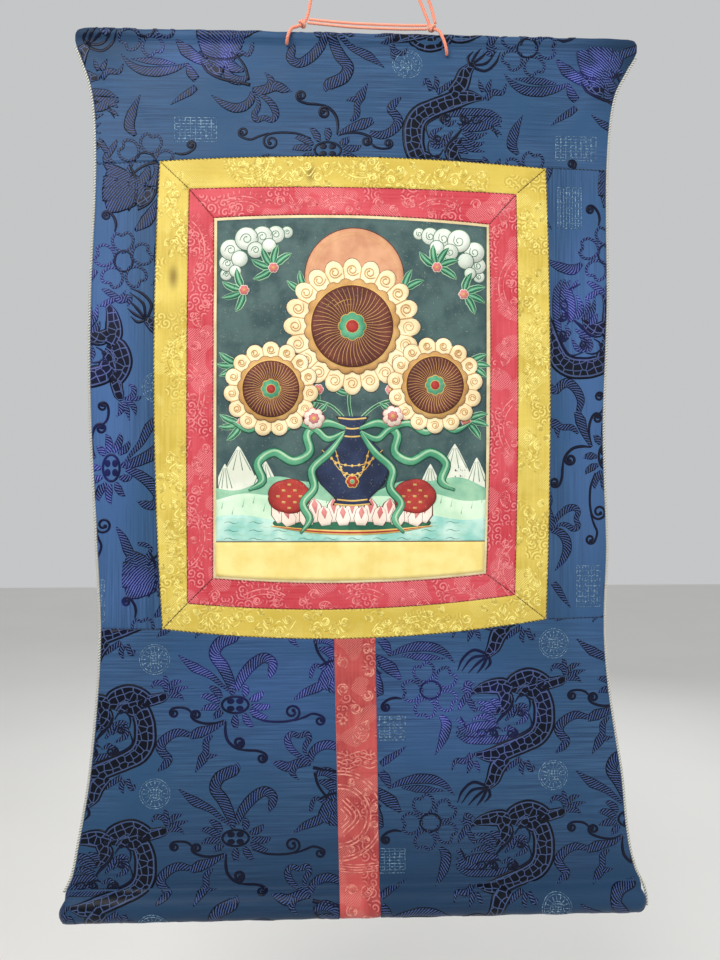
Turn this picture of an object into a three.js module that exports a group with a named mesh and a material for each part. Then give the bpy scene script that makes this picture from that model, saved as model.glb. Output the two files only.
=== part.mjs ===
// A small painted scroll in a pieced silk mount. The painting on canvas has a red and a
// yellow silk border, both mitred, and wide blue brocade round them. The brocade is sewn
// into a sleeve round a thin stick at the top and round a thick dowel at the bottom. A red
// stripe runs down the lower brocade, a pale piping edges both sides, and a limp cord
// tied to the top sleeve ends in a knot and a small loop for a nail.
//
// Units are millimetres. X runs to the right, Z up, and the painted face looks along -Y.
// The origin is where a nail carries the loop. Heights on the cloth are given as "down",
// the distance below the cloth's top edge, and heights on the cord as "above" that edge.
import * as THREE from 'three';
import { mergeVertices } from 'three/addons/utils/BufferGeometryUtils.js';

// Driving dimensions
const CORD_DROP = 178;
const CLOTH_HEIGHT = 796;
const SHEET = 1.4;
const GAP = 0.3;
const STICK_RADIUS = 3.5;
const DOWEL_RADIUS = 12;
const TOP_STITCH = 12.5;
const BOTTOM_STITCH = 768;
const LAYER_DEPTH = 0.9;
const FOLD_FADE = 24;
const ROD_SHORT_OF_END = 16;
const END_TUCK = 8;
const END_TUCK_SHARE = 0.3;
const PIPING_RADIUS = 1.1;
const PIPING_GAP = 0.48;
const PIPING_START = 17;
const PIPING_LIFT = 3;
const CORD_RADIUS = 1.5;
const TIE_RADIUS = 1.2;

// The cloth's two side edges, a row for each height where they turn
const outline = [
  { down: 0, left: -244, right: 258 },
  { down: 12, left: -246, right: 260 },
  { down: 30, left: -239.5, right: 250 },
  { down: 52, left: -232, right: 239 },
  { down: 85, left: -228, right: 233.5 },
  { down: 140, left: -227.5, right: 231 },
  { down: 240, left: -231, right: 231.5 },
  { down: 350, left: -230.5, right: 228.5 },
  { down: 460, left: -226, right: 231.5 },
  { down: 540, left: -223, right: 229 },
  { down: 600, left: -226, right: 234 },
  { down: 670, left: -233, right: 245 },
  { down: 730, left: -243, right: 251 },
  { down: 755, left: -248, right: 257 },
  { down: 775, left: -257, right: 266 },
  { down: 796, left: -260, right: 267 },
];

// The three nested frames: corners as [x, down], and how far each side bows outwards
const yellowFrame = {
  topLeft: [-171.5, 118.5],
  topRight: [176, 120],
  bottomRight: [176.3, 529],
  bottomLeft: [-169, 535.5],
  bow: { top: 6.5, right: 3.5, bottom: 12, left: 6 },
};
const redFrame = {
  topLeft: [-145.5, 143],
  topRight: [148.7, 144],
  bottomRight: [147.4, 506.7],
  bottomLeft: [-146.9, 512.7],
  bow: { top: 3, right: 2, bottom: 8.5, left: 1 },
};
const paintingFrame = {
  topLeft: [-122.8, 169.5],
  topRight: [123.6, 172.3],
  bottomRight: [120.8, 487.1],
  bottomLeft: [-123.7, 490],
  bow: { top: 5, right: 2, bottom: 6, left: 0 },
};

// Where the seams beside the yellow frame meet the cloth's side edges
const sideSeams = {
  top: { left: 121.8, right: 121.2 },
  bottom: { left: 534.5, right: 527.7 },
};

// The red stripe's two side seams: x at its top and at the cloth's bottom edge
const STRIPE_TOP = 544;
const stripe = {
  left: { atTop: -16.2, atBottom: -10.8 },
  right: { atTop: 20.8, atBottom: 25.3 },
};

// Soft folds: middle, turn in degrees from level, half length, half width, and height
// towards the viewer, negative for a trough. The belly is the widest and softest of them.
const folds = [
  { x: 0, down: 330, turn: 90, length: 230, width: 190, height: 8 },
  { x: -212, down: 44, turn: -48, length: 46, width: 11, height: 3.2 },
  { x: -196, down: 66, turn: -60, length: 34, width: 9, height: -2.0 },
  { x: 226, down: 46, turn: 50, length: 48, width: 10, height: 3.8 },
  { x: 206, down: 62, turn: 38, length: 42, width: 10, height: -2.4 },
  { x: 10, down: 40, turn: 0, length: 190, width: 13, height: 1.6 },
  { x: -40, down: 84, turn: 2, length: 150, width: 14, height: -1.4 },
  { x: -229, down: 300, turn: 88, length: 90, width: 14, height: 3.0 },
  { x: 230, down: 400, turn: 92, length: 80, width: 13, height: -2.6 },
  { x: -60, down: 250, turn: 4, length: 90, width: 22, height: 1.2 },
  { x: 40, down: 420, turn: -3, length: 100, width: 24, height: -1.4 },
  { x: 5, down: 548, turn: 0, length: 130, width: 12, height: 2.0 },
  { x: -92, down: 604, turn: 3, length: 80, width: 15, height: 1.6 },
  { x: 96, down: 634, turn: -6, length: 90, width: 16, height: -1.6 },
  { x: -228, down: 734, turn: 58, length: 44, width: 10, height: 3.4 },
  { x: 238, down: 728, turn: -60, length: 46, width: 10, height: 3.6 },
  { x: 4, down: 742, turn: 0, length: 210, width: 10, height: -1.8 },
];

// Hand-picked routes of the cords, as [x, y, above]
const leftCord = [
  [-58.5, -2.9, -12.6], [-58.2, -5.6, -11.6], [-57.2, -8.0, -8.2], [-55.6, -7.6, -3.4],
  [-53.2, -6.0, 0.6], [-50.0, -4.4, 2.6], [-46.4, -2.4, 5.2], [-43.2, -0.9, 8.4],
  [-41.0, -0.2, 12.6], [-39.4, 0, 18], [-37.0, 0, 30.5], [-33.5, 0, 46],
  [-27.0, 0, 72], [-19.4, 0, 100], [-11.2, 0, 126], [-4.1, 0, 144.9],
];
const rightCord = [
  [85.2, -2.8, -19.4], [85.0, -5.4, -18.2], [84.0, -7.4, -14.6], [82.2, -8.3, -9.6],
  [80.0, -7.9, -4.2], [77.8, -6.1, 0.6], [75.2, -3.4, 3.6], [72.6, -1.2, 5.8],
  [70.4, 0, 9.0], [68.4, 0, 14], [66.0, 0, 20], [60.9, 0, 32.5],
  [53.0, 0, 50], [42.0, 0, 73], [29.0, 0, 99], [12.6, 0, 127], [0.3, 0, 143.1],
];
const secondRightCord = [
  [75.5, -0.4, 10.4], [74.3, 0.3, 16], [72.0, 0.4, 25], [68.8, 0, 33.5],
  [62.2, 0, 52], [51.8, 0, 75], [37.6, 0, 101], [19.6, 0, 129], [4.4, 0, 145.1],
];
const upperTie = [
  [-39.1, -0.1, 12.2], [-20, -0.2, 10.6], [0, -0.2, 9.4], [20, -0.2, 8.9],
  [45, -0.1, 8.6], [68.1, -0.2, 8.9],
];
const lowerTie = [
  [-40.4, -0.3, 8.9], [-20, -0.3, 7.2], [0, -0.3, 5.8], [20, -0.3, 5.2],
  [45, -0.4, 4.9], [68.1, -0.6, 5.3],
];
const hangingLoop = [
  [-2.4, 0, 156.7], [-4.8, 0, 160.5], [-6.2, 0, 165.5], [-6.0, 0, 171.5], [-3.7, 0, 177],
  [0, 0, 179.5],
  [3.7, 0, 177], [6.0, 0, 171.5], [6.2, 0, 165.5], [4.8, 0, 160.5], [2.4, 0, 156.7],
];
const knot = { above: 150.3, radii: [7, 5, 6] };

// The wound hitches: where they lie on their cords, and the section of the winding
const hitches = {
  left: { route: leftCord, distance: 29 },
  right: { route: rightCord, distance: 33 },
};
const winding = { bore: CORD_RADIUS + 1.15, shoulder: 3.3, outer: 4, half: 2.4 };

// Small helpers
const lerp = (a, b, t) => a + (b - a) * t;
const clamp = (value, low, high) => Math.min(Math.max(value, low), high);
const between = (from, to, t) => [lerp(from[0], to[0], t), lerp(from[1], to[1], t)];
const place = (x, y, down) => new THREE.Vector3(x, y, -CORD_DROP - down);
const cordPoint = ([x, y, above]) => place(x, y, -above);

function smooth(value, low, high) {
  const t = clamp((value - low) / (high - low), 0, 1);
  return t * t * (3 - 2 * t);
}

// A side edge's x at a height: a smooth curve through the outline's rows
function sideAt(down, side) {
  const last = outline.length - 1;
  const row = clamp(outline.findLastIndex((r) => r.down <= down), 0, last - 1);
  const before = outline[Math.max(row - 1, 0)];
  const from = outline[row];
  const to = outline[row + 1];
  const after = outline[Math.min(row + 2, last)];
  const span = to.down - from.down;
  const t = clamp((down - from.down) / span, 0, 1);
  const slopeFrom = (to[side] - before[side]) / (to.down - before.down);
  const slopeTo = (after[side] - from[side]) / (after.down - from.down);
  const bend = (slopeFrom * (1 - t) - slopeTo * t) * t * (1 - t) * span;
  return lerp(from[side], to[side], smooth(t, 0, 1)) + bend;
}

// A frame's side as [x, down] at a share t of its length, left to right or top to bottom
function frameSide(frame, side, t) {
  const ends = {
    top: [frame.topLeft, frame.topRight, 0, -1],
    bottom: [frame.bottomLeft, frame.bottomRight, 0, 1],
    left: [frame.topLeft, frame.bottomLeft, -1, 0],
    right: [frame.topRight, frame.bottomRight, 1, 0],
  };
  const [from, to, outX, outDown] = ends[side];
  const bow = frame.bow[side] * 4 * t * (1 - t);
  const [x, down] = between(from, to, t);
  return [x + outX * bow, down + outDown * bow];
}

// The seam above or below the yellow frame: its "down" at x, out to the cloth's side edges
function crossSeam(x, side) {
  const from = frameSide(yellowFrame, side, 0);
  const to = frameSide(yellowFrame, side, 1);
  const { left, right } = sideSeams[side];
  if (x < from[0]) {
    const edge = sideAt(left, 'left');
    return lerp(left, from[1], clamp((x - edge) / (from[0] - edge), 0, 1));
  }
  if (x > to[0]) {
    const edge = sideAt(right, 'right');
    return lerp(to[1], right, clamp((x - to[0]) / (edge - to[0]), 0, 1));
  }
  return frameSide(yellowFrame, side, (x - from[0]) / (to[0] - from[0]))[1];
}

function stripeSide(down, side) {
  const t = (down - STRIPE_TOP) / (CLOTH_HEIGHT - STRIPE_TOP);
  return lerp(stripe[side].atTop, stripe[side].atBottom, t);
}

// The depth of the hanging cloth. The folds fade out towards the two stitch lines.
function clothDepth(x, down) {
  const raised = folds.reduce((sum, fold) => {
    const turn = THREE.MathUtils.degToRad(fold.turn);
    const across = x - fold.x;
    const below = down - fold.down;
    const along = across * Math.cos(turn) - below * Math.sin(turn);
    const over = across * Math.sin(turn) + below * Math.cos(turn);
    return sum + fold.height * Math.exp(-((along / fold.length) ** 2) - (over / fold.width) ** 2);
  }, 0);
  const belowTop = smooth(down, TOP_STITCH, TOP_STITCH + FOLD_FADE);
  const aboveBottom = 1 - smooth(down, BOTTOM_STITCH - FOLD_FADE, BOTTOM_STITCH);
  return -LAYER_DEPTH - raised * belowTop * aboveBottom;
}

function clothPoint([x, down]) {
  return { point: place(x, clothDepth(x, down), down), facing: new THREE.Vector3(0, -1, 0) };
}

// A sheet of cloth as one closed solid. at(i, j) gives the middle of the cloth and the way
// it faces. Front and back lie half a thickness to either side, and a rim joins them.
function sheetSolid(columns, rows, at) {
  const positions = [];
  for (const side of [0.5, -0.5]) {
    for (let j = 0; j <= rows; j += 1) {
      for (let i = 0; i <= columns; i += 1) {
        const { point, facing } = at(i, j);
        positions.push(...point.addScaledVector(facing, side * SHEET).toArray());
      }
    }
  }
  const wide = columns + 1;
  const back = wide * (rows + 1);
  const index = [];
  const quad = (a, b, c, d) => index.push(a, b, c, a, c, d);
  for (let j = 0; j < rows; j += 1) {
    for (let i = 0; i < columns; i += 1) {
      const a = j * wide + i;
      quad(a, a + wide, a + wide + 1, a + 1);
      quad(back + a, back + a + 1, back + a + wide + 1, back + a + wide);
    }
  }
  const rim = [];
  for (let i = 0; i < columns; i += 1) rim.push(i);
  for (let j = 0; j < rows; j += 1) rim.push(j * wide + columns);
  for (let i = columns; i > 0; i -= 1) rim.push(rows * wide + i);
  for (let j = rows; j > 0; j -= 1) rim.push(j * wide);
  rim.forEach((a, k) => {
    const b = rim[(k + 1) % rim.length];
    quad(a, b, back + b, back + a);
  });
  const geometry = new THREE.BufferGeometry();
  geometry.setAttribute('position', new THREE.Float32BufferAttribute(positions, 3));
  geometry.setIndex(index);
  return geometry;
}

// A flat piece filled in smoothly between its four seams, less half a seam gap all round.
// Each seam gives [x, down] for a share of its length. At a mitre the gap is slantwise.
function flatPiece(columns, rows, seams, mitred = { ends: false, sides: false }) {
  const { top, bottom, left, right } = seams;
  const distance = (a, b) => Math.hypot(b[0] - a[0], b[1] - a[1]);
  const slant = (isMitre) => (isMitre ? Math.SQRT2 : 1);
  const insetU = ((GAP / 2) * slant(mitred.ends)) / distance(left(0.5), right(0.5));
  const insetV = ((GAP / 2) * slant(mitred.sides)) / distance(top(0.5), bottom(0.5));
  return sheetSolid(columns, rows, (i, j) => {
    const u = lerp(insetU, 1 - insetU, i / columns);
    const v = lerp(insetV, 1 - insetV, j / rows);
    const down = between(top(u), bottom(u), v);
    const across = between(left(v), right(v), u);
    const corners = between(between(top(0), top(1), u), between(bottom(0), bottom(1), u), v);
    return clothPoint([down[0] + across[0] - corners[0], down[1] + across[1] - corners[1]]);
  });
}

const seamOf = (frame, side) => (t) => frameSide(frame, side, t);

// A border strip lies between one side of a frame and the same side of the next one in.
// Its ends are the mitres, which run from the outer frame's corners to the inner one's.
function borderStrip(outer, inner, side, lengthwise, across) {
  const mitre = (at) => (t) => between(frameSide(outer, side, at), frameSide(inner, side, at), t);
  const outerFirst = side === 'top' || side === 'left';
  const [first, second] = outerFirst ? [outer, inner] : [inner, outer];
  const run = (at) => (outerFirst ? mitre(at) : (t) => mitre(at)(1 - t));
  if (side === 'top' || side === 'bottom') {
    const [top, bottom] = [seamOf(first, side), seamOf(second, side)];
    const seams = { top, bottom, left: run(0), right: run(1) };
    return flatPiece(lengthwise, across, seams, { ends: true, sides: false });
  }
  const [left, right] = [seamOf(first, side), seamOf(second, side)];
  const seams = { left, right, top: run(0), bottom: run(1) };
  return flatPiece(across, lengthwise, seams, { ends: false, sides: true });
}

// A side panel lies between the cloth's side edge and the yellow frame
function sidePanel(side, columns, rows) {
  const edge = (t) => {
    const down = lerp(sideSeams.top[side], sideSeams.bottom[side], t);
    return [sideAt(down, side), down];
  };
  const inner = seamOf(yellowFrame, side);
  const [left, right] = side === 'left' ? [edge, inner] : [inner, edge];
  const seams = {
    left,
    right,
    top: (t) => between(left(0), right(0), t),
    bottom: (t) => between(left(1), right(1), t),
  };
  return flatPiece(columns, rows, seams);
}

// The sleeves. A sleeve's section is a loop round its rod that closes at the stitch line,
// and "opening" is the half angle in degrees that the loop leaves free there.
const sleeves = {
  top: {
    side: 'top',
    rodWay: 1,
    centre: STICK_RADIUS + GAP + SHEET,
    radius: STICK_RADIUS + GAP + SHEET / 2,
    stitch: TOP_STITCH,
    opening: 28,
    turns: 12,
  },
  bottom: {
    side: 'bottom',
    rodWay: -1,
    centre: CLOTH_HEIGHT - DOWEL_RADIUS - GAP - SHEET,
    radius: DOWEL_RADIUS + GAP + SHEET / 2,
    stitch: BOTTOM_STITCH,
    opening: 24,
    turns: 20,
  },
};

// Stations round the sleeve, from its sewn-down back edge to the front stitch line
function loopStations({ opening, turns, rodWay }) {
  const round = Array.from({ length: turns + 1 }, (_, k) => {
    const angle = THREE.MathUtils.degToRad(lerp(opening, 360 - opening, k / turns));
    return { kind: 'loop', back: Math.sin(angle), down: rodWay * Math.cos(angle) };
  });
  return [{ kind: 'hem', back: 1, down: 0 }, ...round];
}

// Where a station of the sleeve lies at x. Towards an end of the cloth the loop draws in.
function sleevePoint(sleeve, station, x, toEnd) {
  const facing = new THREE.Vector3(0, station.back, -station.down);
  if (station.kind === 'hem') return { point: place(x, LAYER_DEPTH, sleeve.stitch), facing };
  const t = clamp(toEnd / END_TUCK, 0, 1);
  const reach = sleeve.radius * lerp(END_TUCK_SHARE, 1, Math.sqrt(1 - (1 - t) ** 2));
  return { point: place(x, station.back * reach, sleeve.centre + station.down * reach), facing };
}

// Shares of a panel's width for its columns: even ones, and closer ones at a cloth end
function columnShares(count, width, leftEnd, rightEnd) {
  const close = [0, 1.2, 3.2].map((distance) => distance / width);
  const from = leftEnd ? END_TUCK / width : 0;
  const to = rightEnd ? 1 - END_TUCK / width : 1;
  const even = Array.from({ length: count + 1 }, (_, k) => lerp(from, to, k / count));
  const before = leftEnd ? close : [];
  const after = rightEnd ? close.map((share) => 1 - share).reverse() : [];
  return [...before, ...even, ...after];
}

// A brocade or stripe panel: a flat part from a cross seam to the stitch line, and its
// share of the sleeve. left(down) and right(down) are its sides.
function sleevedPanel({ sleeve, left, right, leftEnd, rightEnd, count, flatRows }) {
  const { side, stitch, rodWay } = sleeve;
  const shares = columnShares(count, right(stitch) - left(stitch), leftEnd, rightEnd);
  const flat = Array.from({ length: flatRows + 1 }, (_, k) => ({ kind: 'flat', share: k / flatRows }));
  const downwards = [...loopStations(sleeve), ...flat];
  const stations = rodWay > 0 ? downwards : downwards.reverse();
  const flatDown = (x, share) => lerp(stitch, crossSeam(x, side) - (rodWay * GAP) / 2, share);
  const levelAt = (station, x) => {
    if (station.kind === 'flat') return flatDown(x, station.share);
    return station.kind === 'hem' ? stitch : sleeve.centre + station.down * sleeve.radius;
  };
  return sheetSolid(shares.length - 1, stations.length - 1, (i, j) => {
    const station = stations[j];
    const from = left(levelAt(station, left(stitch))) + (leftEnd ? 0 : GAP / 2);
    const to = right(levelAt(station, right(stitch))) - (rightEnd ? 0 : GAP / 2);
    const x = lerp(from, to, shares[i]);
    if (station.kind === 'flat') return clothPoint([x, flatDown(x, station.share)]);
    const toEnd = Math.min(leftEnd ? x - from : END_TUCK, rightEnd ? to - x : END_TUCK);
    return sleevePoint(sleeve, station, x, toEnd);
  });
}

// Only positions are kept, so that shared points become one
function closed(geometry) {
  geometry.deleteAttribute('normal');
  geometry.deleteAttribute('uv');
  return mergeVertices(geometry, 1e-4);
}

// A round tube along a smooth curve through points
function tube(points, radius, steps) {
  const sides = 8;
  const circle = new THREE.EllipseCurve(0, 0, radius, radius).getPoints(sides);
  const section = new THREE.Shape(circle.slice(0, sides));
  const extrudePath = new THREE.CatmullRomCurve3(points);
  return closed(new THREE.ExtrudeGeometry(section, { steps, extrudePath, bevelEnabled: false }));
}

// A rod inside its sleeve, a little shorter than the cloth
function rod(sleeve, radius, sides) {
  const from = sideAt(sleeve.centre, 'left') + ROD_SHORT_OF_END;
  const to = sideAt(sleeve.centre, 'right') - ROD_SHORT_OF_END;
  const geometry = closed(new THREE.CylinderGeometry(radius, radius, to - from, sides));
  geometry.rotateZ(Math.PI / 2);
  const middle = place((from + to) / 2, 0, sleeve.centre);
  return geometry.translate(middle.x, middle.y, middle.z);
}

// The piping lies against a side edge, from under the top sleeve's end to the lower end.
// Where the edge slants, it stands off by the same distance measured square to the edge.
function piping(side, lastDown) {
  const outwards = side === 'left' ? -1 : 1;
  const count = 50;
  const points = Array.from({ length: count + 1 }, (_, k) => {
    const down = lerp(PIPING_START, lastDown, k / count);
    const slant = sideAt(down + 1, side) - sideAt(down, side);
    const standOff = (PIPING_RADIUS + PIPING_GAP) * Math.hypot(1, slant);
    const onDowel = PIPING_LIFT * smooth(down, BOTTOM_STITCH, CLOTH_HEIGHT - END_TUCK);
    const x = sideAt(down, side) + outwards * standOff;
    return place(x, clothDepth(x, down) - onDowel, down);
  });
  return tube(points, PIPING_RADIUS, count);
}

// A wound hitch: a short thick ring round a cord, at a distance from the cord's start
function hitch({ route, distance }) {
  const curve = new THREE.CatmullRomCurve3(route.map(cordPoint));
  const share = distance / curve.getLength();
  const { bore, shoulder, outer, half } = winding;
  const section = [
    [bore, -half],
    [shoulder, -half],
    [outer, -half / 2],
    [outer, half / 2],
    [shoulder, half],
    [bore, half],
    [bore, -half],
  ];
  const profile = section.map(([radius, height]) => new THREE.Vector2(radius, height));
  const geometry = closed(new THREE.LatheGeometry(profile, 12));
  const lengthwise = new THREE.Vector3(0, 1, 0);
  const turn = new THREE.Quaternion().setFromUnitVectors(lengthwise, curve.getTangentAt(share));
  geometry.applyQuaternion(turn);
  const middle = curve.getPointAt(share);
  return geometry.translate(middle.x, middle.y, middle.z);
}

function knotBall({ above, radii }) {
  const geometry = closed(new THREE.SphereGeometry(1, 12, 8));
  geometry.scale(...radii);
  const middle = cordPoint([0, 0, above]);
  return geometry.translate(middle.x, middle.y, middle.z);
}

const silkBlue = new THREE.MeshStandardMaterial({ color: 0x2f4f7c, roughness: 0.45, metalness: 0 });
const silkYellow = new THREE.MeshStandardMaterial({ color: 0xc9a93c, roughness: 0.4, metalness: 0 });
const silkRed = new THREE.MeshStandardMaterial({ color: 0xb8414f, roughness: 0.5, metalness: 0 });
const canvas = new THREE.MeshStandardMaterial({ color: 0x6f8a78, roughness: 0.85, metalness: 0 });
const paleCord = new THREE.MeshStandardMaterial({ color: 0xc9c7bc, roughness: 0.8, metalness: 0 });
const coralCord = new THREE.MeshStandardMaterial({ color: 0xd9705c, roughness: 0.6, metalness: 0 });
const wood = new THREE.MeshStandardMaterial({ color: 0x9a7448, roughness: 0.7, metalness: 0 });

const scroll = new THREE.Group();

function add(name, geometry, material) {
  const mesh = new THREE.Mesh(geometry, material);
  mesh.name = name;
  scroll.add(mesh);
}

// The painting and its two mitred borders
add('painting', flatPiece(12, 16, {
  top: seamOf(paintingFrame, 'top'),
  bottom: seamOf(paintingFrame, 'bottom'),
  left: seamOf(paintingFrame, 'left'),
  right: seamOf(paintingFrame, 'right'),
}), canvas);
for (const side of ['top', 'bottom', 'left', 'right']) {
  add(`red_border_${side}`, borderStrip(redFrame, paintingFrame, side, 15, 2), silkRed);
  add(`yellow_border_${side}`, borderStrip(yellowFrame, redFrame, side, 16, 2), silkYellow);
}

// The blue brocade round them, with the stripe below
const clothLeft = (down) => sideAt(down, 'left');
const clothRight = (down) => sideAt(down, 'right');
const stripeLeft = (down) => stripeSide(down, 'left');
const stripeRight = (down) => stripeSide(down, 'right');
add('blue_side_left', sidePanel('left', 3, 18), silkBlue);
add('blue_side_right', sidePanel('right', 3, 18), silkBlue);
add('blue_panel_top', sleevedPanel({
  sleeve: sleeves.top,
  left: clothLeft,
  right: clothRight,
  leftEnd: true,
  rightEnd: true,
  count: 24,
  flatRows: 12,
}), silkBlue);
add('blue_panel_bottom_left', sleevedPanel({
  sleeve: sleeves.bottom,
  left: clothLeft,
  right: stripeLeft,
  leftEnd: true,
  rightEnd: false,
  count: 11,
  flatRows: 18,
}), silkBlue);
add('blue_panel_bottom_right', sleevedPanel({
  sleeve: sleeves.bottom,
  left: stripeRight,
  right: clothRight,
  leftEnd: false,
  rightEnd: true,
  count: 11,
  flatRows: 18,
}), silkBlue);
add('red_stripe', sleevedPanel({
  sleeve: sleeves.bottom,
  left: stripeLeft,
  right: stripeRight,
  leftEnd: false,
  rightEnd: false,
  count: 3,
  flatRows: 18,
}), silkRed);

// The rods, the piping and the cord
add('top_stick', rod(sleeves.top, STICK_RADIUS, 16), wood);
add('bottom_dowel', rod(sleeves.bottom, DOWEL_RADIUS, 28), wood);
add('piping_left', piping('left', 770), paleCord);
add('piping_right', piping('right', 790), paleCord);
add('hanging_cord_left', tube(leftCord.map(cordPoint), CORD_RADIUS, 20), coralCord);
add('hanging_cord_right', tube(rightCord.map(cordPoint), CORD_RADIUS, 22), coralCord);
add('hanging_cord_right_second', tube(secondRightCord.map(cordPoint), CORD_RADIUS, 12), coralCord);
add('cross_tie_upper', tube(upperTie.map(cordPoint), TIE_RADIUS, 12), coralCord);
add('cross_tie_lower', tube(lowerTie.map(cordPoint), TIE_RADIUS, 12), coralCord);
add('cord_hitch_left', hitch(hitches.left), coralCord);
add('cord_hitch_right', hitch(hitches.right), coralCord);
add('top_knot', knotBall(knot), coralCord);
add('hanging_loop', tube(hangingLoop.map(cordPoint), CORD_RADIUS, 12), coralCord);

export default scroll;
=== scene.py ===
import math

import bmesh
import bpy
import numpy as np
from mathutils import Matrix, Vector


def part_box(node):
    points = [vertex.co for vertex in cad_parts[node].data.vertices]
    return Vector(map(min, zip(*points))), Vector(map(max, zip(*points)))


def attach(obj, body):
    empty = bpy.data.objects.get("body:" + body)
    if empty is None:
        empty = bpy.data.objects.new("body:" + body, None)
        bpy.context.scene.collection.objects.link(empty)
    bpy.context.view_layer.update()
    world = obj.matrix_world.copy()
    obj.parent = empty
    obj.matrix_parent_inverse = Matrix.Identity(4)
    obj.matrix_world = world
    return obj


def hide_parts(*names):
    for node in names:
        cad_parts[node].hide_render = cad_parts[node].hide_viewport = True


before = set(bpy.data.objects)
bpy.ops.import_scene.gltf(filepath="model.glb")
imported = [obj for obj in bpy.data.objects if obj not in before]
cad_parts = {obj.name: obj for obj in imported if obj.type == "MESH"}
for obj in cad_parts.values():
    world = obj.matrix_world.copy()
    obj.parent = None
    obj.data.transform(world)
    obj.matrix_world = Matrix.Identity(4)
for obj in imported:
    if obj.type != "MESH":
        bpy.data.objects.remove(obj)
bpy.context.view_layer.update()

# Driving sizes in millimetres. On the cloth, "down" is the distance below its top edge,
# and on the cords "above" is the distance over that edge. The painted face looks along -Y.
MM = 0.001
CORD_DROP = 178.0
CLOTH_HEIGHT = 796.0
SHEET = 1.4
GAP = 0.3
STICK_RADIUS = 3.5
DOWEL_RADIUS = 12.0
TOP_STITCH = 12.5
BOTTOM_STITCH = 768.0
LAYER_DEPTH = 0.9
FOLD_FADE = 24.0
END_TUCK = 8.0
END_TUCK_SHARE = 0.2
PIPING_RADIUS = 1.1
PIPING_GAP = 0.48
PIPING_START = 17.0
PIPING_LIFT = 3.0
CORD_RADIUS = 1.5
TIE_RADIUS = 1.2
STRIPE_TOP = 544.0
MARGIN = 0.45
SEAM_GAP = 0.04
SEAM_FALL = 0.8
SEAM_SINK = 0.42
SEAM_SINK_BEHIND = 0.2
CORD_PITCH = 7.5
TIE_PITCH = 6.5
PIPING_PITCH = 5.0

# The cloth's side edges: down, left, right
OUTLINE = np.array([
    (0, -244, 258), (12, -246, 260), (30, -239.5, 250), (52, -232, 239),
    (85, -228, 233.5), (140, -227.5, 231), (240, -231, 231.5), (350, -230.5, 228.5),
    (460, -226, 231.5), (540, -223, 229), (600, -226, 234), (670, -233, 245),
    (730, -243, 251), (755, -248, 257), (775, -257, 266), (796, -260, 267),
])

# The nested frames: corners as (x, down) and how far each side bows outwards
YELLOW_FRAME = {
    "corners": {"top_left": (-171.5, 118.5), "top_right": (176, 120),
                "bottom_right": (176.3, 529), "bottom_left": (-169, 535.5)},
    "bow": {"top": 6.5, "right": 3.5, "bottom": 12, "left": 6},
}
RED_FRAME = {
    "corners": {"top_left": (-145.5, 143), "top_right": (148.7, 144),
                "bottom_right": (147.4, 506.7), "bottom_left": (-146.9, 512.7)},
    "bow": {"top": 3, "right": 2, "bottom": 8.5, "left": 1},
}
PAINTING_FRAME = {
    "corners": {"top_left": (-122.8, 169.5), "top_right": (123.6, 172.3),
                "bottom_right": (120.8, 487.1), "bottom_left": (-123.7, 490)},
    "bow": {"top": 5, "right": 2, "bottom": 6, "left": 0},
}
SIDE_SEAMS = {"top": {"left": 121.8, "right": 121.2}, "bottom": {"left": 534.5, "right": 527.7}}
STRIPE = {"left": (-16.2, -10.8), "right": (20.8, 25.3)}

# Soft folds: x, down, turn from level in degrees, half length, half width, height
FOLDS = [
    (0, 330, 90, 230, 190, 8), (-212, 44, -48, 46, 11, 3.2), (-196, 66, -60, 34, 9, -2.0),
    (226, 46, 50, 48, 10, 3.8), (206, 62, 38, 42, 10, -2.4), (10, 40, 0, 190, 13, 1.6),
    (-40, 84, 2, 150, 14, -1.4), (-229, 300, 88, 90, 14, 3.0), (230, 400, 92, 80, 13, -2.6),
    (-60, 250, 4, 90, 22, 1.2), (40, 420, -3, 100, 24, -1.4), (5, 548, 0, 130, 12, 2.0),
    (-92, 604, 3, 80, 15, 1.6), (96, 634, -6, 90, 16, -1.6), (-228, 734, 58, 44, 10, 3.4),
    (238, 728, -60, 46, 10, 3.6), (4, 742, 0, 210, 10, -1.8),
]

# Small creases that only the fine surface holds, in the same columns
CREASES = [
    (-150, 30, -14, 50, 4, -0.5), (120, 34, 10, 60, 4, -0.5), (-60, 62, 3, 70, 5, 0.4),
    (60, 98, -2, 90, 5, -0.4), (-206, 92, -70, 26, 4, 0.5), (214, 96, 68, 30, 4, 0.5),
    (-196, 210, 86, 60, 5, 0.4), (203, 250, 93, 70, 5, -0.4), (-199, 430, 92, 70, 5, -0.4),
    (200, 470, 88, 50, 5, 0.4), (-20, 760, 0, 230, 3, -0.5), (-190, 700, 64, 40, 5, -0.6),
    (205, 690, -62, 44, 5, -0.6), (-110, 650, 2, 90, 6, -0.4), (120, 580, -4, 80, 6, 0.5),
    (60, 700, 3, 110, 6, 0.4), (-70, 232, 1, 60, 14, -0.4), (20, 305, -2, 90, 14, -0.4),
]


def paired(*values):
    """Arrays of coordinates side by side as points."""
    return np.stack(values, axis=-1)


def smooth(value, low=0.0, high=1.0):
    """Rises from 0 to 1 between low and high: 3 t squared minus 2 t cubed."""
    t = np.clip((np.asarray(value, float) - low) / (high - low), 0, 1)
    return t * t * (3 - 2 * t)


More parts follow.
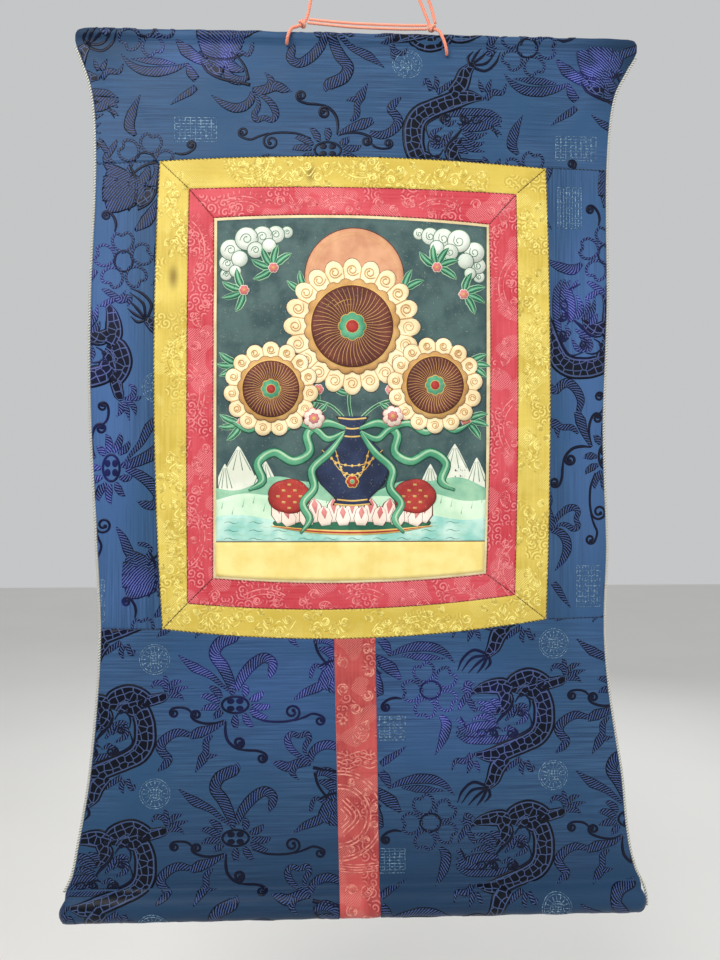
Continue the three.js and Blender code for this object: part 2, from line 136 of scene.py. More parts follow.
def side_at(down, side):
    """x of a side edge: a cubic between the outline's rows, its slopes from the rows around."""
    rows, edge = OUTLINE[:, 0], OUTLINE[:, 1 if side == "left" else 2]
    down = np.asarray(down, float)
    row = np.clip(np.searchsorted(rows, down, side="right") - 1, 0, len(rows) - 2)
    before, after = np.maximum(row - 1, 0), np.minimum(row + 2, len(rows) - 1)
    span = rows[row + 1] - rows[row]
    t = np.clip((down - rows[row]) / span, 0, 1)
    slope_from = (edge[row + 1] - edge[before]) / (rows[row + 1] - rows[before])
    slope_to = (edge[after] - edge[row]) / (rows[after] - rows[row])
    bend = (slope_from * (1 - t) - slope_to * t) * t * (1 - t) * span
    return edge[row] + (edge[row + 1] - edge[row]) * smooth(t) + bend


def cloth_left(down):
    return side_at(down, "left")


def cloth_right(down):
    return side_at(down, "right")


def straight(start, end, axis=0):
    """One coordinate of a straight line, x for axis 0 and "down" for 1, by the other one."""
    base, far, from_base, to_far = start[axis], end[axis], start[1 - axis], end[1 - axis]
    return lambda value: base + (far - base) * (np.asarray(value, float) - from_base) / (to_far - from_base)


def stripe_side(side):
    """x of one of the stripe's seams: a straight line from its top to the cloth's foot."""
    at_top, at_foot = STRIPE[side]
    return straight((at_top, STRIPE_TOP), (at_foot, CLOTH_HEIGHT))


SIDES = ("top", "bottom", "left", "right")
FRAME_ENDS = {
    "top": ("top_left", "top_right", 0, -1), "bottom": ("bottom_left", "bottom_right", 0, 1),
    "left": ("top_left", "bottom_left", -1, 0), "right": ("top_right", "bottom_right", 1, 0),
}


def seam(shape, side):
    """A frame's side as [x, down] at a share of its length: a line plus a parabola's bow."""
    first, last, out_x, out_down = FRAME_ENDS[side]
    start, end = np.array(shape["corners"][first], float), np.array(shape["corners"][last], float)
    out = np.array([out_x, out_down]) * shape["bow"][side]

    def at(t):
        t = np.asarray(t, float)[..., None]
        return start + (end - start) * t + out * 4 * t * (1 - t)
    return at


def seam_line(shape, side):
    """The same side as "down" at x for a top or bottom side, and as x at "down" for the others."""
    first, last, *out = FRAME_ENDS[side]
    start, end = shape["corners"][first], shape["corners"][last]
    axis = 1 if side in ("top", "bottom") else 0

    def at(value):
        t = np.clip((np.asarray(value, float) - start[1 - axis]) / (end[1 - axis] - start[1 - axis]), 0, 1)
        bow = out[axis] * shape["bow"][side] * 4 * t * (1 - t)
        return start[axis] + (end[axis] - start[axis]) * t + bow
    return at


def cross_seam(side):
    """ "down" at x of the seam over or under the yellow frame, out to the cloth's side edges."""
    (x0, d0), (x1, d1) = (YELLOW_FRAME["corners"][f"{side}_{end}"] for end in ("left", "right"))
    left, right = SIDE_SEAMS[side]["left"], SIDE_SEAMS[side]["right"]
    edge_left, edge_right = float(cloth_left(left)), float(cloth_right(right))
    middle = seam_line(YELLOW_FRAME, side)

    def at(x):
        x = np.asarray(x, float)
        on_left = left + (d0 - left) * np.clip((x - edge_left) / (x0 - edge_left), 0, 1)
        on_right = d1 + (right - d1) * np.clip((x - x1) / (edge_right - x1), 0, 1)
        return np.where(x < x0, on_left, np.where(x > x1, on_right, middle(x)))
    return at


def raised(x, down, table):
    """Heights of long soft folds: for each, a bell curve along it and across it."""
    height = np.zeros(np.broadcast(x, down).shape)
    for fold_x, fold_down, turn, length, width, rise in table:
        cos, sin = math.cos(math.radians(turn)), math.sin(math.radians(turn))
        along = (x - fold_x) * cos - (down - fold_down) * sin
        over = (x - fold_x) * sin + (down - fold_down) * cos
        height += rise * np.exp(-(along / length) ** 2 - (over / width) ** 2)
    return height


def ripple(x, down):
    """Faint unevenness of sewn silk: three crossing sine waves, a fifth of a millimetre high."""
    return 0.09 * (np.sin(x / 9.1 + down / 23) + np.sin(down / 7.3 - x / 31) + np.sin(x / 17 + down / 12))


def cloth_depth(x, down):
    """y of the middle of the hanging cloth. The folds fade out towards both stitch lines."""
    below_top = smooth(down, TOP_STITCH, TOP_STITCH + FOLD_FADE)
    above_foot = 1 - smooth(down, BOTTOM_STITCH - FOLD_FADE, BOTTOM_STITCH)
    height = raised(x, down, FOLDS) + raised(x, down, CREASES) + ripple(x, down)
    return -LAYER_DEPTH - height * below_top * above_foot


def lay_flat(x, down, lift):
    """Points at a height over the middle of the hanging cloth, straight out along -Y."""
    return paired(x, cloth_depth(x, down) - lift, -(CORD_DROP + down))


def sleeve_section(way, centre, radius, stitch, opening):
    """A sleeve's section from its front stitch line: an arc round the rod, then the hem.
    Gives the distance along it, y, down, and the outward direction. Its corners are rounded
    by a running mean over 9 samples, a quarter of a millimetre apart."""
    angle = np.radians(np.linspace(360 - opening, opening, 90))
    run_up = stitch + way * np.linspace(10, 0, 5)
    y = np.concatenate([np.full(5, -LAYER_DEPTH), radius * np.sin(angle), [LAYER_DEPTH, LAYER_DEPTH]])
    down = np.concatenate([run_up, centre + way * radius * np.cos(angle), [stitch, stitch + way * 2]])
    length = np.concatenate([[0], np.cumsum(np.hypot(np.diff(y), np.diff(down)))])
    even = np.arange(0, length[-1], 0.25)
    window = np.ones(9) / 9
    y = np.convolve(np.interp(even, length, y), window, "valid")
    down = np.convolve(np.interp(even, length, down), window, "valid")
    along = even[4:-4] - 10
    step_y, step_down = np.gradient(y), np.gradient(down)
    size = np.hypot(step_y, step_down)
    out_y, out_down = way * step_down / size, -way * step_y / size
    keep = along >= 0
    return {"way": way, "centre": centre, "stitch": stitch, "along": along[keep], "y": y[keep],
            "down": down[keep], "out_y": out_y[keep], "out_down": out_down[keep]}


TOP_SLEEVE = sleeve_section(1, STICK_RADIUS + GAP + SHEET, STICK_RADIUS + GAP + SHEET / 2, TOP_STITCH, 28)
BOTTOM_SLEEVE = sleeve_section(
    -1, CLOTH_HEIGHT - DOWEL_RADIUS - GAP - SHEET, DOWEL_RADIUS + GAP + SHEET / 2, BOTTOM_STITCH, 24)


def round_sleeve(sleeve, s):
    """How far a cloth height lies round its sleeve, from 0 at the stitch line."""
    return np.clip(-sleeve["way"] * (s - sleeve["stitch"]), 0, sleeve["along"][-1])


def sleeve_level(sleeve):
    """The real "down" of a cloth height, which turns back where the cloth goes round its rod."""
    def at(s):
        s = np.asarray(s, float)
        past = -sleeve["way"] * (s - sleeve["stitch"]) > 0
        return np.where(past, np.interp(round_sleeve(sleeve, s), sleeve["along"], sleeve["down"]), s)
    return at


def lay_sleeved(sleeve, left, right, left_end, right_end):
    """Lays a panel flat down to its stitch line and then round the sleeve. Within END_TUCK of
    a cloth end, a quarter circle draws the sleeve in to END_TUCK_SHARE of its radius."""
    def lay(x, s, lift):
        x, s, lift = np.broadcast_arrays(np.asarray(x, float), np.asarray(s, float), lift)
        past = -sleeve["way"] * (s - sleeve["stitch"]) > 0
        along = round_sleeve(sleeve, s)
        y, down, out_y, out_down = (
            np.interp(along, sleeve["along"], sleeve[key]) for key in ("y", "down", "out_y", "out_down"))
        to_end = np.full(x.shape, END_TUCK)
        if left_end:
            to_end = np.minimum(to_end, x - left(down))
        if right_end:
            to_end = np.minimum(to_end, right(down) - x)
        t = np.clip(to_end / END_TUCK, 0, 1)
        share = END_TUCK_SHARE + (1 - END_TUCK_SHARE) * np.sqrt(1 - (1 - t) ** 2)
        share = 1 + (share - 1) * smooth(along, 0, 5)
        slack = 0.35 * np.sin(x / 6.3 + along / 5) * np.sin(x / 17.0) * smooth(along, 1, 6)
        round_y = (y + out_y * slack) * share + out_y * lift
        centre = sleeve["centre"]
        round_down = centre + (down + out_down * slack - centre) * share + out_down * lift
        y = np.where(past, round_y, cloth_depth(x, s) - lift)
        return paired(x, y, -(CORD_DROP + np.where(past, round_down, s)))
    return lay


class Panel:
    """A sewn piece of cloth: its four seams in cloth heights, and how it lies in space."""

    def __init__(self, left, right, low, high, lay=lay_flat, level=lambda s: s):
        self.left, self.right, self.low, self.high = left, right, low, high
        self.lay, self.level = lay, level

    def clamp(self, x, s):
        """The nearest place inside the seams, first in height and then from side to side."""
        inside = np.clip(s, self.low(x) + MARGIN, self.high(x) - MARGIN)
        level = self.level(inside)
        return np.clip(x, self.left(level) + MARGIN, self.right(level) - MARGIN), inside


def border_panel(outer, inner, side):
    """A mitred strip between one side of a frame and the same side of the next one in."""
    level = side in ("top", "bottom")
    shapes = (outer, inner) if side in ("top", "left") else (inner, outer)
    seams = [seam_line(shape, side) for shape in shapes]
    ends = FRAME_ENDS[side][:2]
    mitres = [straight(outer["corners"][end], inner["corners"][end], 0 if level else 1) for end in ends]
    return Panel(*mitres, *seams) if level else Panel(*seams, *mitres)


TOP_SEAM, BOTTOM_SEAM = cross_seam("top"), cross_seam("bottom")
SLEEVE_TOP_END = TOP_STITCH - TOP_SLEEVE["along"][-1]
SLEEVE_FOOT_END = BOTTOM_STITCH + BOTTOM_SLEEVE["along"][-1]
TOP_LEVEL, FOOT_LEVEL = sleeve_level(TOP_SLEEVE), sleeve_level(BOTTOM_SLEEVE)


def foot_panel(left, right, left_end, right_end):
    lay = lay_sleeved(BOTTOM_SLEEVE, left, right, left_end, right_end)
    return Panel(left, right, BOTTOM_SEAM, lambda x: SLEEVE_FOOT_END + 0 * x, lay, FOOT_LEVEL)


PANELS = {
    "blue_panel_top": Panel(
        cloth_left, cloth_right, lambda x: SLEEVE_TOP_END + 0 * x, TOP_SEAM,
        lay_sleeved(TOP_SLEEVE, cloth_left, cloth_right, True, True), TOP_LEVEL),
    "blue_panel_bottom_left": foot_panel(cloth_left, stripe_side("left"), True, False),
    "blue_panel_bottom_right": foot_panel(stripe_side("right"), cloth_right, False, True),
    "red_stripe": foot_panel(stripe_side("left"), stripe_side("right"), False, False),
    "blue_side_left": Panel(cloth_left, seam_line(YELLOW_FRAME, "left"), TOP_SEAM, BOTTOM_SEAM),
    "blue_side_right": Panel(seam_line(YELLOW_FRAME, "right"), cloth_right, TOP_SEAM, BOTTOM_SEAM),
    "painting": Panel(*(seam_line(PAINTING_FRAME, side) for side in ("left", "right", "top", "bottom"))),
}
for side_name in SIDES:
    PANELS[f"red_border_{side_name}"] = border_panel(RED_FRAME, PAINTING_FRAME, side_name)
    PANELS[f"yellow_border_{side_name}"] = border_panel(YELLOW_FRAME, RED_FRAME, side_name)


# The camera, level and a little to the left of the painting's middle, at arm's length
VIEW_DISTANCE = 668.0
VIEW_YAW = math.radians(2.05)
VIEW_CENTRE = (7.22, 0.0, -580.6)
LENS = 740 / 960 * 36


def make_camera():
    data = bpy.data.cameras.new("camera")
    data.lens = LENS
    data.sensor_width = 36
    camera = bpy.data.objects.new("camera", data)
    back = Vector((-math.sin(VIEW_YAW), -math.cos(VIEW_YAW), 0)) * VIEW_DISTANCE
    camera.location = (Vector(VIEW_CENTRE) + back) * MM
    camera.rotation_euler = (math.pi / 2, 0, -VIEW_YAW)
    bpy.context.scene.collection.objects.link(camera)
    bpy.context.scene.camera = camera


make_camera()


# Colours are written as screen values from 0 to 255
def tone(red, green, blue):
    """A screen colour as linear light, by the sRGB curve."""
    value = np.array([red, green, blue]) / 255
    linear = np.where(value <= 0.04045, value / 12.92, ((value + 0.055) / 1.055) ** 2.4)
    return (*linear.tolist(), 1.0)


class Finish:
    """A material with its nodes, through short calls. A socket is linked, a number is set."""

    def __init__(self, name, **surface):
        self.material = bpy.data.materials.new(name)
        self.material.use_nodes = True
        self.tree = self.material.node_tree
        self.shader = self.tree.nodes["Principled BSDF"]
        for socket, value in surface.items():
            self.shader.inputs[socket.replace("_", " ")].default_value = value
        self.texture = self.tree.nodes.new("ShaderNodeTexCoord")
        self.object = self.texture.outputs["Object"]
        self.uv = self.texture.outputs["UV"]

    def put(self, socket, value):
        if isinstance(value, bpy.types.NodeSocket):
            self.tree.links.new(value, socket)
        else:
            socket.default_value = value

    def node(self, kind, inputs, **settings):
        made = self.tree.nodes.new(kind)
        for key, value in settings.items():
            setattr(made, key, value)
        for key, value in inputs.items():
            self.put(made.inputs[key], value)
        return made

    def math(self, operation, *values):
        return self.node("ShaderNodeMath", dict(enumerate(values)), operation=operation).outputs[0]

    def times(self, first, second):
        return self.math("MULTIPLY", first, second)

    def split(self, value):
        return self.node("ShaderNodeSeparateXYZ", {0: value}).outputs

    def vector(self, operation, *values):
        made = self.node("ShaderNodeVectorMath", dict(enumerate(values)), operation=operation)
        return made.outputs["Value" if operation == "LENGTH" else "Vector"]

    def mix(self, share, first, second):
        """A blend of two colours, each a socket or a screen colour."""
        first, second = (tone(*value) if isinstance(value, tuple) else value for value in (first, second))
        return self.node("ShaderNodeMix", {0: share, 6: first, 7: second}, data_type="RGBA").outputs[2]

    def tint(self, base, towards, *shares):
        """A colour turned towards another one by a product of shares."""
        share = shares[0]
        for factor in shares[1:]:
            share = self.times(share, factor)
        return self.mix(share, base, towards)

    def noise(self, vector, scale, detail=2.0, stretch=(1, 1, 1)):
        moved = self.node("ShaderNodeMapping", {"Vector": vector, "Scale": stretch}).outputs[0]
        inputs = {"Vector": moved, "Scale": scale, "Detail": detail}
        return self.node("ShaderNodeTexNoise", inputs).outputs[0]

    def between(self, value, low, high, to_low=0.0, to_high=1.0):
        inputs = {"Value": value, "From Min": low, "From Max": high, "To Min": to_low, "To Max": to_high}
        return self.node("ShaderNodeMapRange", inputs, interpolation_type="SMOOTHSTEP").outputs[0]

    def attribute(self, name):
        return self.node("ShaderNodeAttribute", {}, attribute_name=name).outputs["Fac"]

    def glow(self, x, down, half_x, half_down):
        """1 at a place of the cloth, falling smoothly to 0 at the edge of an ellipse round it."""
        centre = (x * MM, 0.0, -(CORD_DROP + down) * MM)
        moved = self.vector("SUBTRACT", self.object, centre)
        sized = self.vector("MULTIPLY", moved, (1 / (half_x * MM), 0.0, 1 / (half_down * MM)))
        return self.between(self.vector("LENGTH", sized), 0.0, 1.0, 1.0, 0.0)

    def glows(self, *places):
        total = self.glow(*places[0])
        for place in places[1:]:
            total = self.math("MAXIMUM", total, self.glow(*place))
        return total

    def bump(self, height, strength, distance):
        inputs = {"Height": height, "Strength": strength, "Distance": distance}
        self.put(self.shader.inputs["Normal"], self.node("ShaderNodeBump", inputs).outputs[0])

    def colour(self, value):
        self.put(self.shader.inputs["Base Color"], value)

    def rough(self, value):
        self.put(self.shader.inputs["Roughness"], value)


# Where the light catches the brocade: x, down, half width, half height
BROCADE_LIGHT = [(-60, 585, 170, 95), (80, 610, 130, 90), (-137, 24, 70, 26), (210, 30, 46, 34),
                 (-205, 505, 40, 50), (206, 240, 36, 90), (-222, 330, 42, 250)]


def weave_height(finish, pitch):
    """A plain weave's relief: fine noise along both threads."""
    across = finish.noise(finish.uv, 1 / pitch, 1.0, (0.25, 1, 1))
    along = finish.noise(finish.uv, 1 / pitch, 1.0, (1, 0.25, 1))
    return finish.math("ADD", across, along)


def blue_ground():
    f = Finish("blue_ground", Sheen_Weight=0.06, Sheen_Roughness=0.4, Specular_IOR_Level=0.12)
    streak = f.noise(f.uv, 1.0, 3.0, (16, 620, 1))
    slub = f.between(f.noise(f.uv, 1.0, 1.0, (26, 900, 1)), 0.66, 0.76)
    patch = f.noise(f.object, 14.0, 3.0)
    base = f.mix(f.between(streak, 0.3, 0.7), (40, 64, 96), (58, 89, 124))
    base = f.mix(f.between(patch, 0.35, 0.68), base, (44, 76, 110))
    base = f.tint(base, (72, 102, 162), f.glows(*BROCADE_LIGHT), f.between(streak, 0.2, 0.8, 0.2, 0.85), 0.45)
    # Painted light: the side panels are made brighter, as where more light falls on them
    painted_side_light = f.glows((-216, 330, 46, 330), (216, 330, 40, 330))
    base = f.tint(base, (74, 108, 160), painted_side_light, 0.55)
    # Painted shade: darker towards the bottom of the cloth and at both top corners
    painted_shade = f.glows((0, 830, 620, 190), (-260, 0, 120, 60), (270, 10, 110, 80))
    base = f.tint(base, (18, 38, 60), painted_shade, 0.85)
    base = f.tint(base, (22, 44, 84), slub, 0.35)
    f.colour(f.tint(base, (34, 50, 82), f.attribute("back"), 0.6))
    f.rough(f.between(streak, 0.2, 0.8, 0.42, 0.6))
    f.bump(weave_height(f, 0.0009), 0.35, 0.00025)
    return f.material


def catch_light(f, dark, bright):
    """A satin colour that turns from dark to bright where the light catches the brocade."""
    uneven = f.between(f.noise(f.object, 38.0, 2.0), 0.35, 0.65, 0.15, 1.0)
    return f.tint(dark, bright, f.glows(*BROCADE_LIGHT), uneven)


def hatched_satin(pitch, slant):
    """Satin floats in diagonal ribs: a sine wave along the ribbon, slanted by its width."""
    f = Finish("satin_hatched", Sheen_Weight=0.03, Specular_IOR_Level=0.14)
    split = f.split(f.uv)
    wobble = f.times(f.noise(f.uv, 900.0, 1.0), 0.0012)
    phase = f.math("ADD", f.math("ADD", split[1], f.times(split[0], slant)), wobble)
    wave = f.math("SINE", f.times(phase, 2 * math.pi / pitch))
    rib = f.between(wave, -0.6, 0.1)
    rim = f.between(f.attribute("rim"), 0.72, 0.9)
    dark = f.math("MAXIMUM", rib, rim)
    pale = catch_light(f, (58, 80, 126), (104, 116, 190))
    deep = catch_light(f, (2, 6, 24), (34, 34, 108))
    f.colour(f.mix(dark, pale, deep))
    f.rough(f.between(wave, -1, 1, 0.5, 0.32))
    f.bump(rib, 0.5, 0.0002)
    return f.material


def line_satin():
    f = Finish("satin_line", Sheen_Weight=0.03, Specular_IOR_Level=0.14, Roughness=0.36)
    grain = f.noise(f.uv, 1400.0, 2.0)
    deep = catch_light(f, (2, 6, 24), (28, 30, 90))
    f.colour(f.mix(f.between(grain, 0.3, 0.75, 0.0, 0.4), deep, (20, 32, 70)))
    f.bump(grain, 0.3, 0.00015)
    return f.material


def scale_satin():
    """Scales: cells of a Voronoi pattern, dark inside with a pale line where two cells meet."""
    f = Finish("satin_scales", Sheen_Weight=0.03, Specular_IOR_Level=0.14, Roughness=0.38)
    cells = f.node("ShaderNodeTexVoronoi", {"Vector": f.uv, "Scale": 150.0, "Randomness": 0.5},
                   feature="DISTANCE_TO_EDGE", voronoi_dimensions="2D").outputs["Distance"]
    line = f.between(cells, 0.04, 0.08, 1.0, 0.0)
    rim = f.attribute("rim")
    inner_line = f.times(f.between(rim, 0.62, 0.7), f.between(rim, 0.74, 0.82, 1.0, 0.0))
    outer_dark = f.between(rim, 0.76, 0.84)
    pale = catch_light(f, (62, 80, 118), (96, 106, 172))
    deep = catch_light(f, (1, 5, 20), (16, 20, 64))
    inside = f.times(line, f.math("SUBTRACT", 1.0, outer_dark))
    f.colour(f.mix(f.math("MAXIMUM", inside, inner_line), deep, pale))
    f.bump(line, 0.4, 0.0002)
    return f.material


def woven_curls(f, size, turns):
    """Spirals side by side: the sine of the distance from each cell's middle plus the angle
    round it. Gives the wave, and how far a place is from the edge between two cells."""
    cells = {"Vector": f.uv, "Scale": 1 / size, "Randomness": 0.75}
    middle = f.node("ShaderNodeTexVoronoi", cells, feature="F1", voronoi_dimensions="2D")
    edge = f.node("ShaderNodeTexVoronoi", cells, feature="DISTANCE_TO_EDGE", voronoi_dimensions="2D")
    away = f.split(f.vector("SUBTRACT", f.uv, middle.outputs["Position"]))
    angle = f.math("ARCTAN2", away[1], away[0])
    distance = f.times(middle.outputs["Distance"], 2 * math.pi * turns)
    return f.math("SINE", f.math("ADD", distance, angle)), edge.outputs["Distance"]


def woven_figure(f, base, low, high, share, plain=()):
    """The damask's figure on the ground: curls in some patches, slanting floats in others, and
    little of either at the plain places."""
    if plain:
        share = f.times(f.math("SUBTRACT", 1.0, f.glows(*plain)), share)
    wave, edge = woven_curls(f, 0.0085, 2.6)
    split = f.split(f.uv)
    slant = f.times(f.math("ADD", split[0], split[1]), 2 * math.pi / 0.0021)
    floats = f.math("SINE", f.math("ADD", slant, f.times(f.noise(f.uv, 160.0, 1.0), 9.0)))
    field = f.noise(f.object, 34.0, 1.0)
    curls = f.between(field, 0.40, 0.44, 1.0, 0.0)
    hatch = f.between(field, 0.54, 0.57)
    line = f.times(f.between(wave, 0.35, 0.8), f.between(edge, 0.04, 0.09))
    line = f.math("MAXIMUM", f.times(line, curls), f.times(f.between(floats, 0.2, 0.7), hatch))
    shade = f.times(f.between(wave, -0.9, -0.6, 1.0, 0.0), curls)
    base = f.tint(base, low, shade, share)
    return f.tint(base, high, line, share), line


def damask_ground(name, low, high, worn, figure, stains=()):
    """Figured silk: fine streaks and cloudy patches between two tones, woven curls and floats
    in two more, painted shade across the top and bottom strips, and a few stains."""
    f = Finish(name, Sheen_Weight=0.08, Sheen_Roughness=0.35, Specular_IOR_Level=0.2)
    streak = f.noise(f.uv, 1.0, 2.0, (20, 520, 1))
    upright = f.noise(f.uv, 1.0, 2.0, (460, 18, 1))
    patch = f.noise(f.object, 26.0, 4.0)
    base = f.mix(f.between(patch, 0.34, 0.66), low, high)
    base = f.mix(f.between(streak, 0.3, 0.7, 0.0, 0.35), base, worn)
    base = f.mix(f.between(upright, 0.5, 0.8, 0.0, 0.3), base, low)
    base, line = woven_figure(f, base, *figure)
    # Painted shade: darker bands across the top and bottom strips of the frames
    base = f.tint(base, low, f.glows((0, 120, 330, 34), (0, 528, 330, 26)), 0.7)
    for stain in stains:
        base = f.tint(base, (120, 92, 34), f.glow(*stain), 0.8)
    f.colour(base)
    f.rough(f.between(streak, 0.2, 0.8, 0.4, 0.58))
    f.bump(f.math("ADD", weave_height(f, 0.0008), line), 0.4, 0.00025)
    return f.material


def mottled(name, low, high, scale, detail, start, end, **surface):
    """A finish that is cloudy between two tones, by noise between a start and an end."""
    f = Finish(name, **surface)
    f.colour(f.mix(f.between(f.noise(f.object, scale, detail), start, end), low, high))
    return f


def damask_line(name, low, high):
    f = mottled(name, low, high, 260.0, 2.0, 0.36, 0.62,
                Sheen_Weight=0.1, Specular_IOR_Level=0.3, Roughness=0.34)
    f.bump(f.noise(f.uv, 1600.0, 1.0), 0.3, 0.00015)
    return f.material


def canvas_weave(name, low, high):
    """Bare primed canvas at the painting's edge."""
    f = mottled(name, low, high, 60.0, 4.0, 0.3, 0.7, Specular_IOR_Level=0.2)
    f.rough(f.between(f.noise(f.object, 300.0, 2.0), 0.3, 0.7, 0.62, 0.8))
    f.bump(weave_height(f, 0.0007), 0.25, 0.0002)
    return f.material


def painted(name, low, high):
    """A matt coat of paint: cloudy between two tones, with flecks of the canvas through it."""
    f = Finish(name, Specular_IOR_Level=0.25)
    cloudy = f.noise(f.object, 55.0, 4.0)
    fleck = f.between(f.noise(f.object, 750.0, 2.0), 0.66, 0.74, 0.0, 0.35)
    f.colour(f.mix(fleck, f.mix(f.between(cloudy, 0.32, 0.68), low, high), (206, 194, 150)))
    f.rough(f.between(f.noise(f.object, 240.0, 2.0), 0.3, 0.7, 0.5, 0.72))
    f.bump(f.noise(f.object, 1100.0, 2.0), 0.2, 0.0002)
    return f.material


def yarn(name, low, high, strands, pitch, mark):
    """Twisted yarn: stripes that run round and along the cord in the twist of its strands."""
    f = Finish(name, Sheen_Weight=0.35, Roughness=0.62, Specular_IOR_Level=0.3)
    split = f.split(f.uv)
    turn = f.math("SUBTRACT", f.times(split[0], strands), f.times(split[1], strands / (pitch * MM)))
    wave = f.math("SINE", f.times(turn, 2 * math.pi))
    fibre = f.noise(f.object, 1500.0, 2.0)
    base = f.mix(f.between(wave, -0.6, 0.6), low, high)
    f.colour(f.mix(f.between(fibre, 0.4, 0.75, 0.0, 0.5), base, mark))
    f.bump(fibre, 0.4, 0.0002)
    return f.material


def rod_timber():
    f = Finish("rod_timber", Specular_IOR_Level=0.35)
    ring = f.noise(f.object, 40.0, 3.0, (0.06, 1.2, 1.2))
    grain = f.noise(f.object, 900.0, 2.0, (0.03, 1, 1))
    base = f.mix(f.between(ring, 0.35, 0.65), (150, 112, 66), (188, 148, 96))
    f.colour(f.mix(f.between(grain, 0.5, 0.75, 0.0, 0.5), base, (104, 72, 40)))
    f.rough(f.between(grain, 0.3, 0.7, 0.55, 0.72))
    f.bump(grain, 0.3, 0.0002)
    return f.material


# Meshes from arrays
def make_piece(name, points, faces, materials, kinds=None, uv=None, rim=None, back=None):
    """A mesh from points in millimetres and faces of four corners, the last one repeated on a
    triangle. rim and back are kept for the materials, and uv is in millimetres too."""
    corner = np.ones(faces.shape, bool)
    corner[:, 3] = faces[:, 3] != faces[:, 2]
    loops = faces[corner]
    totals = corner.sum(axis=1)
    mesh = bpy.data.meshes.new(name)
    mesh.vertices.add(len(points))
    mesh.vertices.foreach_set("co", (np.asarray(points) * MM).astype(np.float32).ravel())
    mesh.loops.add(len(loops))
    mesh.loops.foreach_set("vertex_index", loops.astype(np.int32))
    mesh.polygons.add(len(faces))
    mesh.polygons.foreach_set("loop_start", np.concatenate([[0], np.cumsum(totals)[:-1]]).astype(np.int32))
    mesh.polygons.foreach_set("loop_total", totals.astype(np.int32))
    if kinds is not None:
        mesh.polygons.foreach_set("material_index", kinds.astype(np.int32))
    mesh.update(calc_edges=True)
    layer = mesh.uv_layers.new(name="cloth")
    layer.data.foreach_set("uv", (uv[loops] * MM).astype(np.float32).ravel())
    for label, values in (("rim", rim), ("back", back)):
        if values is not None:
            kept = mesh.attributes.new(label, "FLOAT", "POINT")
            kept.data.foreach_set("value", values.astype(np.float32))
    for material in materials:
        mesh.materials.append(material)
    mesh.polygons.foreach_set("use_smooth", np.ones(len(mesh.polygons), bool))
    piece = bpy.data.objects.new(name, mesh)
    bpy.context.scene.collection.objects.link(piece)
    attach(piece, "root")
    return piece


def close_up(piece):
    """Closes the cut ends of bands, and turns the faces of closed forms outwards."""
    work = bmesh.new()
    work.from_mesh(piece.data)
    bmesh.ops.holes_fill(work, edges=[edge for edge in work.edges if edge.is_boundary], sides=0)
    bmesh.ops.recalc_face_normals(work, faces=work.faces)
    for face in work.faces:
        face.smooth = True
    work.to_mesh(piece.data)
    work.free()
    piece.data.update()


def grid_faces(rows, columns, start=0, flip=False):
    """The quads of a grid of points that is stored row by row."""
    corner = (np.arange(rows)[:, None] * (columns + 1) + np.arange(columns)).ravel() + start
    quad = [corner, corner + columns + 1, corner + columns + 2, corner + 1]
    return np.stack(quad[::-1] if flip else quad, axis=-1)


def slab_faces(rows, columns):
    """The quads of a closed slab: a front grid, a back grid stored after it, and their rim."""
    count = (rows + 1) * (columns + 1)
    border = np.concatenate([
        np.arange(columns), np.arange(rows) * (columns + 1) + columns,
        rows * (columns + 1) + np.arange(columns, 0, -1), np.arange(rows, 0, -1) * (columns + 1)])
    following = np.roll(border, -1)
    rim = paired(border, following, following + count, border + count)
    return np.vstack([grid_faces(rows, columns), grid_faces(rows, columns, count, flip=True), rim])


def ring_faces(rows, columns, start=0):
    """The quads between rings of points, each ring closed on itself."""
    corner = (np.arange(rows)[:, None] * columns + np.arange(columns)).ravel() + start
    beside = (np.arange(rows)[:, None] * columns + (np.arange(columns) + 1) % columns).ravel() + start
    return paired(corner, beside, beside + columns, corner + columns)


def run_length(line):
    """The distance along a line of points at each of them."""
    return np.concatenate([[0], np.cumsum(np.linalg.norm(np.diff(line, axis=0), axis=1))])


def shares(length, spacing):
    """Shares along a side of that length: even steps, and closer ones next to both ends."""
    close = np.array([0.0, 0.3, 0.8, 1.6, 3.0])
    count = max(int(round((length - 2 * close[-1]) / spacing)), 2)
    middle = np.linspace(close[-1], length - close[-1], count + 1)
    return np.concatenate([close[:-1], middle, (length - close[:-1])[::-1]]) / length


def flat_grid(top, bottom, left, right, spacing, slant_u=1.0, slant_v=1.0):
    """A Coons patch between four seams, half a gap inside them: the blend of top and bottom
    plus the blend of left and right, less the blend of the corners."""
    wide = float(np.linalg.norm(right(0.5) - left(0.5)))
    high = float(np.linalg.norm(bottom(0.5) - top(0.5)))
    u, v = np.meshgrid(shares(wide, spacing), shares(high, spacing))
    edge = np.minimum(np.minimum(u, 1 - u) * wide, np.minimum(v, 1 - v) * high)
    inset_u, inset_v = SEAM_GAP / 2 * slant_u / wide, SEAM_GAP / 2 * slant_v / high
    u, v = inset_u + (1 - 2 * inset_u) * u, inset_v + (1 - 2 * inset_v) * v

    def blend(start, end, share):
        return start * (1 - share)[..., None] + end * share[..., None]
    corners = blend(blend(top(0.0), top(1.0), u), blend(bottom(0.0), bottom(1.0), u), v)
    point = blend(top(u), bottom(u), v) + blend(left(v), right(v), u) - corners
    return point[..., 0], point[..., 1], edge

def between_points(start, end):
    start, end = np.array(start, float), np.array(end, float)
    return lambda t: start + (end - start) * np.asarray(t, float)[..., None]


